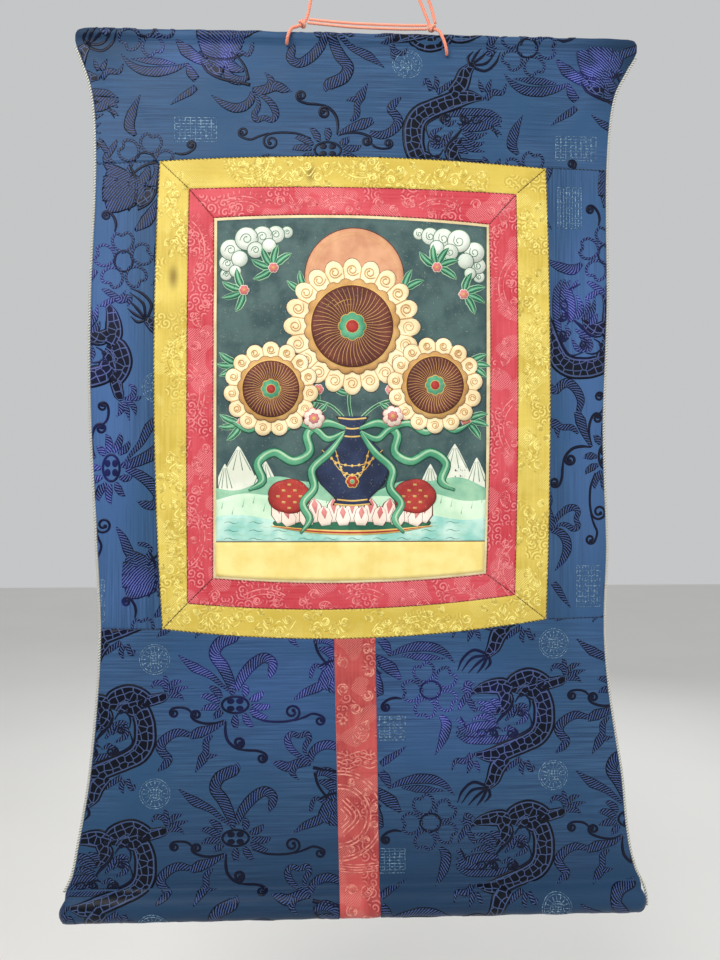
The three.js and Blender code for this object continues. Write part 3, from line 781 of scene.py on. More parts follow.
def border_grid(outer, inner, side, spacing):
    """The grid of a mitred strip, from seam to seam and from mitre to mitre."""
    forwards = side in ("top", "left")
    first, last = (outer, inner) if forwards else (inner, outer)
    seams = seam(first, side), seam(last, side)
    mitres = [between_points(first["corners"][end], last["corners"][end]) for end in FRAME_ENDS[side][:2]]
    if side in ("top", "bottom"):
        return flat_grid(*seams, *mitres, spacing, slant_u=math.sqrt(2))
    return flat_grid(*mitres, *seams, spacing, slant_v=math.sqrt(2))


def side_grid(side, spacing):
    """The grid of a side panel, from the yellow frame's seam to the cloth's edge."""
    top, bottom = SIDE_SEAMS["top"][side], SIDE_SEAMS["bottom"][side]

    def edge(t):
        down = top + (bottom - top) * np.asarray(t, float)
        return paired(side_at(down, side), down)
    inner = seam(YELLOW_FRAME, side)
    left, right = (edge, inner) if side == "left" else (inner, edge)
    ends = [between_points(left(share), right(share)) for share in (0.0, 1.0)]
    return flat_grid(*ends, left, right, spacing)


def sleeved_grid(name, left_end, right_end, spacing):
    """Rows run from seam to seam by cloth height, and each row from side to side at its level."""
    panel, on_top = PANELS[name], name == "blue_panel_top"
    left, right = panel.left(650.0), panel.right(650.0)
    high = float(panel.high(0.5 * (left + right)) - panel.low(0.5 * (left + right)))
    wide = 490.0 if on_top else float(panel.right(700.0) - panel.left(700.0))
    u, v = np.meshgrid(shares(wide, spacing), shares(high, spacing))
    to_side = np.where(u < 0.5, 99 if left_end else u * wide, 99 if right_end else (1 - u) * wide)
    edge = np.minimum(np.minimum(v, 1 - v) * high, to_side)
    x = left + (right - left) * u
    for _ in range(4):
        low = panel.low(x) + (0 if on_top else SEAM_GAP / 2)
        foot = panel.high(x) - (SEAM_GAP / 2 if on_top else 0)
        s = low + (foot - low) * v
        level = panel.level(s)
        left = panel.left(level) + (0 if left_end else SEAM_GAP / 2)
        right = panel.right(level) - (0 if right_end else SEAM_GAP / 2)
        x = left + (right - left) * u
    return x, s, edge


def make_sheet(node, grid, material, turned=False):
    """The closed sheet of cloth that stands for a CAD node: a front and a back grid half a
    thickness to either side of the middle, and a rim. The front falls off within a millimetre
    of a seam, by a bell curve. Its flat size is its own width and height."""
    x, s, edge = grid
    rows, columns = x.shape[0] - 1, x.shape[1] - 1
    fall = np.exp(-(edge / SEAM_FALL) ** 2)
    lay = PANELS[node].lay
    front = lay(x, s, SHEET / 2 - SEAM_SINK * fall).reshape(-1, 3)
    behind = lay(x, s, -SHEET / 2 + SEAM_SINK_BEHIND * fall).reshape(-1, 3)
    cloth = np.stack([s, x] if turned else [x, -s], axis=-1).reshape(-1, 2)
    piece = make_piece(
        f"{node}_cloth", np.vstack([front, behind]), slab_faces(rows, columns), [material],
        uv=np.vstack([cloth, cloth]), back=np.repeat([0.0, 1.0], len(front)))
    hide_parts(node)


# Cords
def curve_points(route, spacing):
    """A centripetal Catmull-Rom curve through the route, resampled at even distances."""
    points = np.array(route, float)
    points = np.vstack([2 * points[0] - points[1], points, 2 * points[-1] - points[-2]])
    knot = np.sqrt(np.linalg.norm(np.diff(points, axis=0), axis=1))
    t = np.linspace(0, 1, 24, endpoint=False)[None, :, None]
    p0, p1, p2, p3 = (points[k:len(points) - 3 + k, None] for k in range(4))
    k0, k1, k2 = (knot[k:len(knot) - 2 + k, None, None] for k in range(3))
    slope1 = ((p1 - p0) / k0 - (p2 - p0) / (k0 + k1) + (p2 - p1) / k1) * k1
    slope2 = ((p2 - p1) / k1 - (p3 - p1) / (k1 + k2) + (p3 - p2) / k2) * k1
    cubic = ((2 * t**3 - 3 * t**2 + 1) * p1 + (t**3 - 2 * t**2 + t) * slope1
             + (3 * t**2 - 2 * t**3) * p2 + (t**3 - t**2) * slope2)
    line = np.vstack([cubic.reshape(-1, 3), points[-2:-1]])
    along = run_length(line)
    even = np.linspace(0, along[-1], max(int(along[-1] / spacing), len(route) - 1, 1) + 1)
    return np.stack([np.interp(even, along, line[:, axis]) for axis in range(3)], axis=-1)


def cord_points(route):
    """Route points [x, y, above] as points of the shared frame."""
    return [(x, y, above - CORD_DROP) for x, y, above in route]


def yarn_tube(line, radius, strands, pitch, reference, taper=0.0):
    """A twisted cord along a line: its section's radius is a share of |cos| of half the angle
    for each strand, and the section turns once in each pitch. Both ends are closed."""
    sides = 8 * strands
    step = np.gradient(line, axis=0)
    tangent = step / np.linalg.norm(step, axis=1, keepdims=True)
    first = np.cross(tangent, reference)
    first /= np.linalg.norm(first, axis=1, keepdims=True)
    second = np.cross(tangent, first)
    along = run_length(line)
    angle = np.linspace(0, 2 * math.pi, sides + 1)[None, :]
    lobe = 0.74 + 0.26 * np.abs(np.cos(strands * (angle - 2 * math.pi * along[:, None] / pitch) / 2)) ** 0.7
    size = radius * lobe
    if taper:
        size = size * (np.sqrt(np.clip(along / taper, 0.02, 1))
                       * np.sqrt(np.clip((along[-1] - along) / taper, 0.02, 1)))[:, None]
    around = np.cos(angle)[..., None] * first[:, None] + np.sin(angle)[..., None] * second[:, None]
    uv = paired(*np.broadcast_arrays(angle / (2 * math.pi) / MM, along[:, None]))
    return line[:, None] + size[..., None] * around, uv


def tube_piece(name, tubes, material):
    """One piece from closed tubes, each with rings of points that meet at their seam. It stands
    for the CAD node whose name its own begins with."""
    points, uvs, faces, start = [], [], [], 0
    for ring, uv in tubes:
        rows, columns = ring.shape[0] - 1, ring.shape[1] - 1
        faces.append(ring_faces(rows, columns, start))
        points.append(np.vstack([ring[:, :-1].reshape(-1, 3), ring[0, :-1].mean(0), ring[-1, :-1].mean(0)]))
        uvs.append(np.vstack([uv[:, :-1].reshape(-1, 2), uv[0, 0], uv[-1, 0]]))
        around = np.arange(columns)
        after = (around + 1) % columns
        last = start + rows * columns
        hub = np.full(columns, last + columns)
        faces.append(paired(start + after, start + around, hub, hub))
        faces.append(paired(last + around, last + after, hub + 1, hub + 1))
        start += (rows + 1) * columns + 2
    piece = make_piece(name, np.vstack(points), np.vstack(faces), [material], uv=np.vstack(uvs))
    close_up(piece)
    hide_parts(name.rsplit("_", 1)[0])
    return piece


LEFT_CORD = [
    (-58.5, -2.9, -12.6), (-58.2, -5.6, -11.6), (-57.2, -8.0, -8.2), (-55.6, -7.6, -3.4),
    (-53.2, -6.0, 0.6), (-50.0, -4.4, 2.6), (-46.4, -2.4, 5.2), (-43.2, -0.9, 8.4), (-41.0, -0.2, 12.6),
    (-39.4, 0, 18), (-37.0, 0, 30.5), (-33.5, 0, 46), (-27.0, 0, 72), (-19.4, 0, 100), (-11.2, 0, 126),
    (-4.1, 0, 144.9),
]
RIGHT_CORD = [
    (85.2, -2.8, -19.4), (85.0, -5.4, -18.2), (84.0, -7.4, -14.6), (82.2, -8.3, -9.6), (80.0, -7.9, -4.2),
    (77.8, -6.1, 0.6), (75.2, -3.4, 3.6), (72.6, -1.2, 5.8), (70.4, 0, 9.0), (68.4, 0, 14), (66.0, 0, 20),
    (60.9, 0, 32.5), (53.0, 0, 50), (42.0, 0, 73), (29.0, 0, 99), (12.6, 0, 127), (0.3, 0, 143.1),
]
SECOND_RIGHT_CORD = [
    (75.5, -0.4, 10.4), (74.3, 0.3, 16), (72.0, 0.4, 25), (68.8, 0, 33.5), (62.2, 0, 52), (51.8, 0, 75),
    (37.6, 0, 101), (19.6, 0, 129), (4.4, 0, 145.1),
]
UPPER_TIE = [(-39.1, -0.1, 12.2), (-20, -0.2, 10.6), (0, -0.2, 9.4), (20, -0.2, 8.9),
             (45, -0.1, 8.6), (68.1, -0.2, 8.9)]
LOWER_TIE = [(-40.4, -0.3, 8.9), (-20, -0.3, 7.2), (0, -0.3, 5.8), (20, -0.3, 5.2),
             (45, -0.4, 4.9), (68.1, -0.6, 5.3)]
LOOP = [
    (-2.4, 0, 156.7), (-4.8, 0, 160.5), (-6.2, 0, 165.5), (-6.0, 0, 171.5), (-3.7, 0, 177), (0, 0, 179.5),
    (3.7, 0, 177), (6.0, 0, 171.5), (6.2, 0, 165.5), (4.8, 0, 160.5), (2.4, 0, 156.7),
]
KNOT_ABOVE = 150.3
HITCHES = {"left": (LEFT_CORD, 29.0), "right": (RIGHT_CORD, 33.0)}
FACE = np.array([[0.0, -1.0, 0.0]])

cord_finish = yarn("coral_cord", (206, 92, 70), (240, 150, 120), 3, CORD_PITCH, (248, 184, 152))
tie_finish = yarn("pale_coral_tie", (216, 116, 92), (244, 170, 140), 3, TIE_PITCH, (250, 200, 172))
piping_finish = yarn("grey_white_piping", (96, 98, 96), (206, 204, 192), 2, PIPING_PITCH, (228, 226, 216))


def make_cord(name, route, radius, finish, pitch):
    """A free cord along its route. All end in a knot."""
    line = curve_points(cord_points(route), 0.45)
    piece = tube_piece(name, [yarn_tube(line, radius, 3, pitch, FACE, 0.6)], finish)


def wound_rings(centre, axis, bore, strand, turns, half):
    """A close winding round a cord: a helix of that many turns between minus half and half."""
    axis = axis / np.linalg.norm(axis)
    first = np.cross(axis, [0.0, 1.0, 0.0])
    first /= np.linalg.norm(first)
    second = np.cross(axis, first)
    turn = np.linspace(0, 2 * math.pi * turns, int(40 * turns))[:, None]
    rise = np.linspace(-half + strand, half - strand, len(turn))[:, None]
    line = centre + axis * rise + (bore + strand) * (np.cos(turn) * first + np.sin(turn) * second)
    return line, np.broadcast_to(axis, line.shape)


def make_hitch(side):
    """A hitch: two close turns of tie yarn round the cord and one slanting turn over them."""
    route, along = HITCHES[side]
    line = curve_points(cord_points(route), 0.3)
    place = int(np.searchsorted(run_length(line), along))
    centre, axis = line[place], line[place + 3] - line[place - 3]
    tubes = []
    for bore, turns, half in ((1.6, 2.2, 2.6), (1.9, 1.1, 3.0)):
        coil, reference = wound_rings(centre, axis, bore, TIE_RADIUS * 0.85, turns, half)
        tubes.append(yarn_tube(coil, TIE_RADIUS * 0.9, 3, 5.0, reference, 0.8))
    return tube_piece(f"cord_hitch_{side}_wound", tubes, tie_finish)


def make_top_knot():
    """The knot: a trefoil curve of cord yarn, flattened front to back, pulled tight on a core."""
    middle = [0, 0, KNOT_ABOVE - CORD_DROP]
    t = np.linspace(0, 2 * math.pi, 240)[:, None]
    trefoil = np.hstack([1.75 * (np.sin(t) + 2 * np.sin(2 * t)), -1.9 * np.sin(3 * t),
                         1.75 * (np.cos(t) - 2 * np.cos(2 * t))]) + middle
    tube = yarn_tube(trefoil, 2.0, 3, 7.0, np.hstack([0 * t, 1 + 0 * t, 0 * t]) + 0.01)
    u, v = np.meshgrid(np.linspace(0, 2 * math.pi, 25), np.linspace(0.12, math.pi - 0.12, 13))
    ball = paired(4.4 * np.sin(v) * np.cos(u), 3.2 * np.sin(v) * np.sin(u), 4.6 * np.cos(v))
    core = (ball + middle, paired(u, v * 4))
    return tube_piece("top_knot_tied", [tube, core], cord_finish)


hitch = {side: make_hitch(side) for side in ("left", "right")}
top_knot = make_top_knot()
for part_name, route, held_with in (
        ("left", LEFT_CORD, [top_knot, hitch["left"]]), ("right", RIGHT_CORD, [top_knot, hitch["right"]]),
        ("right_second", SECOND_RIGHT_CORD, [top_knot])):
    make_cord(f"hanging_cord_{part_name}_yarn", route, CORD_RADIUS, cord_finish, CORD_PITCH)
for part_name, route in (("upper", UPPER_TIE), ("lower", LOWER_TIE)):
    make_cord(f"cross_tie_{part_name}_yarn", route, TIE_RADIUS, tie_finish, TIE_PITCH)
make_cord("hanging_loop_yarn", LOOP, CORD_RADIUS, cord_finish, CORD_PITCH)


# Rods
def rod_piece(node, centre_down, radius, finish):
    """A turned rod: a profile of radii along its length, rounded at both ends."""
    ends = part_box(node)
    start, end = ends[0][0] / MM, ends[1][0] / MM
    corner = radius * 0.18
    bend = np.linspace(0, math.pi / 2, 6)
    lead = start + corner * (1 - np.sin(bend))[::-1]
    middle = np.linspace(start + corner, end - corner, 60)[1:-1]
    x = np.concatenate([lead, middle, (start + end) - lead[::-1]])
    size = np.full(len(x), float(radius))
    size[:6] = radius - corner * (1 - np.sin(bend))
    size[-6:] = size[:6][::-1]
    size *= 1 - 0.004 * (1 + np.sin(x / 19))
    angle = np.linspace(0, 2 * math.pi, 49)[None, :]
    y, z = size[:, None] * np.cos(angle), size[:, None] * np.sin(angle) - CORD_DROP - centre_down
    ring = paired(*np.broadcast_arrays(x[:, None], y, z))
    uv = paired(*np.broadcast_arrays(angle / (2 * math.pi), x[:, None]))
    tube_piece(f"{node}_turned", [(ring, uv)], finish)


timber = rod_timber()
rod_piece("top_stick", TOP_SLEEVE["centre"], STICK_RADIUS, timber)
rod_piece("bottom_dowel", BOTTOM_SLEEVE["centre"], DOWEL_RADIUS, timber)


# The twisted piping sewn beside both edges
def make_piping(side, end):
    """Piping beside a side edge, a gap outside it along the edge's own normal."""
    way = -1 if side == "left" else 1
    down = np.arange(PIPING_START, end, 0.7)
    edge = side_at(down, side)
    x = edge + way * (PIPING_RADIUS + PIPING_GAP - 0.3) * np.hypot(1, np.gradient(edge, down))
    y = cloth_depth(edge, down) - PIPING_LIFT * smooth(down, BOTTOM_STITCH, BOTTOM_STITCH + 20)
    line = paired(x, y, -(CORD_DROP + down))
    tube = yarn_tube(line, PIPING_RADIUS * 1.18, 2, PIPING_PITCH, FACE, 0.8)
    tube_piece(f"piping_{side}_twisted", [tube], piping_finish)


make_piping("left", 770.0)
make_piping("right", 790.0)


# The cloth
# Grid steps, and where the yellow silk shows little of its figure: x, down, half width and height
SPACING = 3.3
STRIPE_SPACING = 2.4
BORDER_SPACING = 2.6
CANVAS_SPACING = 3.4
PLAIN_YELLOW = [
    (-156, 238, 20, 42), (-152, 352, 22, 48), (-118, 128, 44, 14), (158, 210, 18, 30), (160, 410, 18, 40),
]
blue = blue_ground()
yellow = damask_ground(
    "yellow_silk_ground", (194, 168, 66), (214, 190, 86), (226, 204, 112),
    ((160, 132, 48), (238, 222, 128), 0.75, PLAIN_YELLOW), [(-159, 222, 7, 16), (-37, 129, 7, 12)])
red = damask_ground(
    "red_silk_ground", (186, 50, 62), (204, 74, 84), (214, 100, 108), ((166, 44, 54), (234, 150, 152), 0.7))
stripe_silk = damask_ground(
    "stripe_silk_ground", (150, 50, 52), (188, 78, 76), (196, 96, 90),
    ((138, 42, 46), (214, 132, 122), 0.7))
canvas = canvas_weave("bare_canvas", (206, 186, 140), (228, 212, 168))
for side_name in SIDES:
    for frame_name, outer, inner, silk in (
            ("red", RED_FRAME, PAINTING_FRAME, red), ("yellow", YELLOW_FRAME, RED_FRAME, yellow)):
        grid = border_grid(outer, inner, side_name, BORDER_SPACING)
        upright = side_name in ("left", "right")
        make_sheet(f"{frame_name}_border_{side_name}", grid, silk, upright)
for side_name in ("left", "right"):
    make_sheet(f"blue_side_{side_name}", side_grid(side_name, SPACING), blue, True)
for name, left_end, right_end in (("blue_panel_top", True, True), ("blue_panel_bottom_left", True, False),
                                  ("blue_panel_bottom_right", False, True)):
    make_sheet(name, sleeved_grid(name, left_end, right_end, SPACING), blue)
stripe_grid = sleeved_grid("red_stripe", False, False, STRIPE_SPACING)
make_sheet("red_stripe", stripe_grid, stripe_silk, True)
canvas_grid = flat_grid(*(seam(PAINTING_FRAME, side) for side in SIDES), CANVAS_SPACING)
make_sheet("painting", canvas_grid, canvas)


# The brocade's chart. One step is 0.155 mm, the lotus is its middle, x runs right and y down.
# It repeats every 343 mm across and every 120 mm down. Widths are a little fuller than charted.
STEP = 0.155
REPEAT = (343.0, 120.0)
HATCH, LINE, SCALES, SILVER = range(4)
FULLER = (1.14, 1.12, 1.26, 1.0)

# The lotus petals from base to tip
LOTUS_PETALS = [
    ((-78, -42), (-160, -103)), ((-88, -12), (-203, -48)), ((-86, 16), (-195, 32)), ((-70, 38), (-122, 84)),
    ((55, -46), (46, -120)), ((82, -26), (162, -81)), ((92, 4), (207, 0)), ((84, 30), (192, 72)),
    ((50, 50), (107, 132)), ((2, 58), (12, 142)), ((-14, -56), (-40, -112)),
]
# Satin ribbons and leaves: kind, then x, y and half width of each point along the middle
RIBBONS = [
    (HATCH, -28, -73, 5, -85, -118, 11, -143, -168, 17, -238, -218, 26, -328, -288, 2),
    (HATCH, -12, -76, 17, -34, -140, 27, -72, -220, 32, -118, -290, 30, -92, -352, 32, -12, -392, 30,
     8, -412, 20, 10, -436, 2),
    (HATCH, 4, -84, 14, 40, -160, 26, 100, -232, 29, 168, -270, 27, 214, -240, 24, 208, -190, 21,
     190, -145, 2),
    (HATCH, -56, 92, 9, -138, 137, 20, -205, 160, 30, -262, 184, 16),
    (HATCH, -262, 172, 14, -330, 160, 22, -395, 190, 24, -430, 240, 26, -410, 282, 22, -382, 312, 20,
     -408, 350, 20, -450, 384, 2),
    (HATCH, -134, 176, 7, -168, 214, 17, -170, 270, 16, -190, 317, 26, -230, 390, 2),
    (HATCH, -186, 298, 12, -150, 300, 15, -105, 292, 2),
    (HATCH, 418, 330, 5, 346, 288, 15, 306, 236, 19, 300, 196, 17, 326, 174, 15, 366, 186, 13,
     410, 174, 16, 424, 202, 16, 402, 242, 14, 398, 276, 10, 424, 326, 4),
    (HATCH, 434, 346, 12, 370, 344, 25, 300, 366, 26, 258, 352, 22, 208, 338, 2),
    (HATCH, 352, 352, 14, 326, 396, 20, 362, 442, 2),
    (HATCH, 434, 336, 10, 444, 284, 21, 486, 248, 25, 540, 240, 24, 600, 262, 18, 668, 310, 2),
    (HATCH, 738, -452, 15, 772, -478, 19, 830, -514, 14, 885, -555, 2),
    (HATCH, 736, -408, 20, 766, -374, 24, 792, -312, 7),
    (HATCH, 792, -318, 7, 860, -348, 18, 950, -366, 27, 1050, -358, 25, 1115, -324, 15, 1166, -268, 2),
    (HATCH, 860, -316, 4, 940, -308, 20, 1020, -302, 18, 1110, -292, 2),
    (HATCH, 1085, 40, 10, 1120, 92, 28, 1104, 174, 25, 1056, 270, 2),
    (HATCH, 1288, -134, 2, 1240, -144, 19, 1252, -90, 18, 1228, -54, 17, 1202, -14, 14, 1190, 16, 2),
    (HATCH, 1242, -64, 13, 1272, -14, 16, 1292, 28, 2),
    (HATCH, 1198, -120, 2, 1230, -104, 12, 1250, -88, 9),
]
# The peony under the stripe: scalloped sepals, then fans of petals
PEONY = [
    (HATCH, 452, 420, 8, 510, 396, 24, 570, 420, 26, 585, 468, 8),
    (HATCH, 480, 452, 8, 540, 470, 28, 592, 520, 28, 596, 566, 8),
    (LINE, 446, 372, 10, 520, 388, 9, 610, 404, 9, 690, 446, 9, 734, 512, 6),
    (LINE, 456, 398, 8, 474, 470, 8, 520, 536, 7, 560, 566, 5),
    (SCALES, 600, 440, 24, 660, 470, 34, 704, 524, 16),
    (HATCH, 592, 470, 22, 552, 560, 32, 520, 640, 38, 504, 690, 30),
    (HATCH, 612, 466, 24, 596, 560, 34, 580, 650, 40, 574, 712, 32),
    (HATCH, 632, 464, 24, 640, 560, 36, 644, 650, 42, 646, 716, 34),
    (HATCH, 650, 466, 22, 686, 560, 34, 708, 640, 40, 722, 694, 30),
    (LINE, 474, 560, 5, 540, 530, 9, 610, 520, 10, 680, 532, 9, 740, 566, 5),
    (HATCH, 650, 446, 12, 730, 490, 28, 800, 540, 34, 852, 600, 8),
    (HATCH, 339, -28, 5, 400, -66, 20, 470, -94, 26, 566, -139, 18),
    (HATCH, 433, -150, 8, 440, -190, 12, 462, -226, 10, 504, -206, 10, 580, -206, 12),
]
DRAGON = [
    (SCALES, -950, 28, 6, -890, -2, 26, -830, -14, 37, -764, -14, 42, -706, 16, 36),
    (SCALES, -716, 16, 34, -690, -34, 46, -608, -64, 47, -530, -34, 44, -502, 10, 20),
    (SCALES, -668, 36, 16, -590, -12, 25, -480, -30, 29, -420, -44, 24, -384, -58, 10),
    (SCALES, -612, 14, 34, -548, 32, 48, -522, 90, 50, -516, 160, 52, -522, 222, 53, -556, 280, 50,
     -620, 318, 44, -700, 350, 44, -780, 380, 44, -850, 392, 32, -930, 382, 6),
    (SCALES, -764, 10, 30, -740, 62, 36, -760, 108, 30, -800, 142, 10),
    (SCALES, -744, 404, 38, -792, 462, 41, -818, 528, 35, -862, 584, 16),
    (HATCH, -806, 190, 16, -870, 160, 19, -950, 186, 2),
    (HATCH, -792, 150, 14, -850, 92, 18, -932, 74, 2),
    (HATCH, -760, 120, 18, -800, 80, 20, -836, 60, 2),
    (HATCH, -786, 222, 14, -850, 214, 24, -930, 226, 26, -986, 246, 22, -1030, 222, 2),
    (HATCH, -726, 286, 12, -800, 302, 21, -900, 306, 20, -970, 300, 18, -1034, 274, 2),
    (HATCH, -742, 190, 7, -694, 130, 16, -636, 120, 17, -630, 176, 16, -690, 214, 3),
    (HATCH, -940, 380, 14, -980, 420, 17, -1038, 422, 13, -1060, 474, 2),
    (HATCH, -942, 420, 13, -958, 462, 14, -970, 496, 2),
    (HATCH, -924, 424, 11, -908, 456, 12, -896, 490, 2),
    (HATCH, -652, 412, 14, -706, 448, 14, -742, 486, 2),
    (HATCH, -640, 430, 13, -652, 470, 14, -640, 508, 2),
    (HATCH, -620, 424, 13, -592, 482, 13, -570, 448, 2),
    (HATCH, -388, -78, 14, -410, -120, 16, -460, -128, 13, -482, -92, 2),
    (HATCH, -400, -112, 13, -398, -146, 13, -410, -176, 2),
    (HATCH, -388, -90, 13, -350, -128, 15, -300, -140, 2),
    (HATCH, -378, -68, 13, -328, -90, 15, -272, -104, 2),
    (HATCH, -376, -54, 12, -322, -54, 14, -296, -30, 2),
    (LINE, -1010, 160, 2, -990, 200, 8, -976, 232, 3),
    (HATCH, -1032, 176, 3, -1000, 196, 12, -960, 214, 4),
    (HATCH, -1034, 256, 6, -980, 262, 14, -900, 268, 16, -820, 262, 6),
    (HATCH, -930, 132, 3, -900, 116, 13, -860, 122, 13, -820, 152, 4),
    (HATCH, -900, 166, 3, -860, 154, 11, -820, 178, 4),
    (LINE, -860, 264, 4, -830, 240, 7, -800, 250, 7, -790, 280, 6, -812, 298, 3),
    (HATCH, -764, 252, 4, -722, 232, 15, -690, 250, 4),
    (HATCH, -742, 152, 3, -700, 118, 11, -650, 98, 13, -612, 104, 3),
    (HATCH, -738, 176, 3, -700, 152, 11, -648, 144, 3),
    (LINE, -700, 62, 7, -716, 112, 11, -762, 158, 11, -800, 204, 5),
    (LINE, -690, 236, 5, -672, 262, 8, -690, 286, 7, -720, 280, 3),
    (LINE, -862, 566, 9, -936, 546, 9, -998, 596, 8, -1028, 664, 2),
    (LINE, -868, 580, 8, -940, 592, 9, -1004, 668, 2),
    (LINE, -862, 588, 8, -916, 630, 9, -964, 680, 2),
    (LINE, -854, 590, 8, -880, 640, 9, -914, 682, 2),
    (LINE, -846, 580, 8, -836, 624, 9, -868, 664, 2),
    (LINE, -690, 82, 3, -664, 44, 6, -620, 44, 6, -600, 84, 6, -606, 130, 3),
    (LINE, -606, 150, 3, -590, 220, 6, -640, 262, 6, -700, 282, 3),
]
# Tendrils end in a curl: points, then the curl's centre, its radius and its turns
TENDRILS = [
    ([(-66, 92), (-130, 108), (-190, 105), (-240, 84)], (-224, 58), 27, 1.25, 9),
    ([(-236, 66), (-270, 26), (-316, 14), (-362, 22)], (-350, 46), 25, -1.2, 8),
    ([(96, 70), (180, 98), (300, 100), (352, 84)], (326, 46), 34, -1.3, 8),
    ([(340, 98), (400, 76), (444, 58), (490, 70)], (486, 100), 29, 1.2, 8),
    ([(-54, 96), (-58, 150), (-46, 206), (-6, 248)], (18, 222), 31, -1.3, 10),
    ([(10, 262), (70, 268), (124, 272), (170, 290)], (152, 314), 27, 1.2, 9),
    ([(860, -60), (820, -66), (780, -56), (746, -26)], (768, -12), 24, -1.2, 9),
    ([(-770, 240), (-800, 226), (-826, 236)], (-812, 256), 22, -1.2, 7),
    ([(-690, 230), (-690, 250), (-688, 268)], (-712, 266), 24, 1.2, 7),
    ([(-700, 170), (-690, 146), (-676, 120)], (-654, 140), 26, 1.4, 8),
]
FLOWER = ((1028, -110), 118, [8, 20, 25, 20, 15, 20, 25, 20, 8], (-110, -38, 34, 106, 178))
PETAL_LOOP = [(-70, 0), (-38, -48), (8, -60), (42, -36), (30, -6), (46, 28), (12, 58), (-38, 46), (-70, 0)]
RINGS = [((0, 0), 76, 47, 8), ((1028, -110), 60, 52, 7), ((-884, 258), 24, 20, 5)]
DOTS = [((-26, -21), 22, 17), ((26, -21), 22, 17), ((-26, 21), 22, 17), ((26, 21), 22, 17),
        ((-884, 258), 8, 7)]
ROUNDEL = ((-462, -262), 86)
SILVER_PATCH = ((760, 112), 120, 70)

# Cosine and sine of the quarter turns, then the sections of bands and discs: shares of the
# half width and of the height
QUARTERS = ((1, 0), (0, 1), (-1, 0), (0, -1))
DOMED_SECTION = (np.array([-1, -0.8, -0.3, 0.3, 0.8, 1, 1, 0.35, -0.35, -1]),
                 np.array([0.35, 0.9, 1, 1, 0.9, 0.35, -1, -1, -1, -1]))
FLAT_SECTION = np.array([-1, -0.75, 0.75, 1]), np.array([-0.6, 1, 1, -0.6])
SMALL_DISC = [(0.4, 1.0), (1.0, 0.3), (1.0, -1.0), (0.4, -1.0)]
LARGE_DISC = [(0.1, 1.0), (0.55, 0.95), (0.88, 0.8), (1.0, 0.2), (1.0, -1.0), (0.1, -1.0)]


def smooth_path(points, values, spacing):
    """A Catmull-Rom curve through the chart's points at even steps, with the values beside it."""
    points = np.array(points, float)
    line = curve_points(np.hstack([points, np.zeros((len(points), 1))]), spacing)[:, :2]
    along = run_length(line)
    nearest = np.array([np.argmin(np.hypot(*(line - point).T)) for point in points])
    return line, along, np.interp(along, along[nearest], values)


def turned(points, turn, x=0.0, s=0.0):
    """Points turned by an angle in degrees and moved to a place."""
    cos, sin = math.cos(math.radians(turn)), math.sin(math.radians(turn))
    return [(x + a * cos - b * sin, s + a * sin + b * cos) for a, b in points]


def out_from(x, s, radius, angle):
    """The place at a radius and an angle from another one, or places for whole arrays."""
    if np.ndim(radius) or np.ndim(angle):
        return paired(x + radius * np.cos(angle), s + radius * np.sin(angle))
    return x + radius * math.cos(angle), s + radius * math.sin(angle)


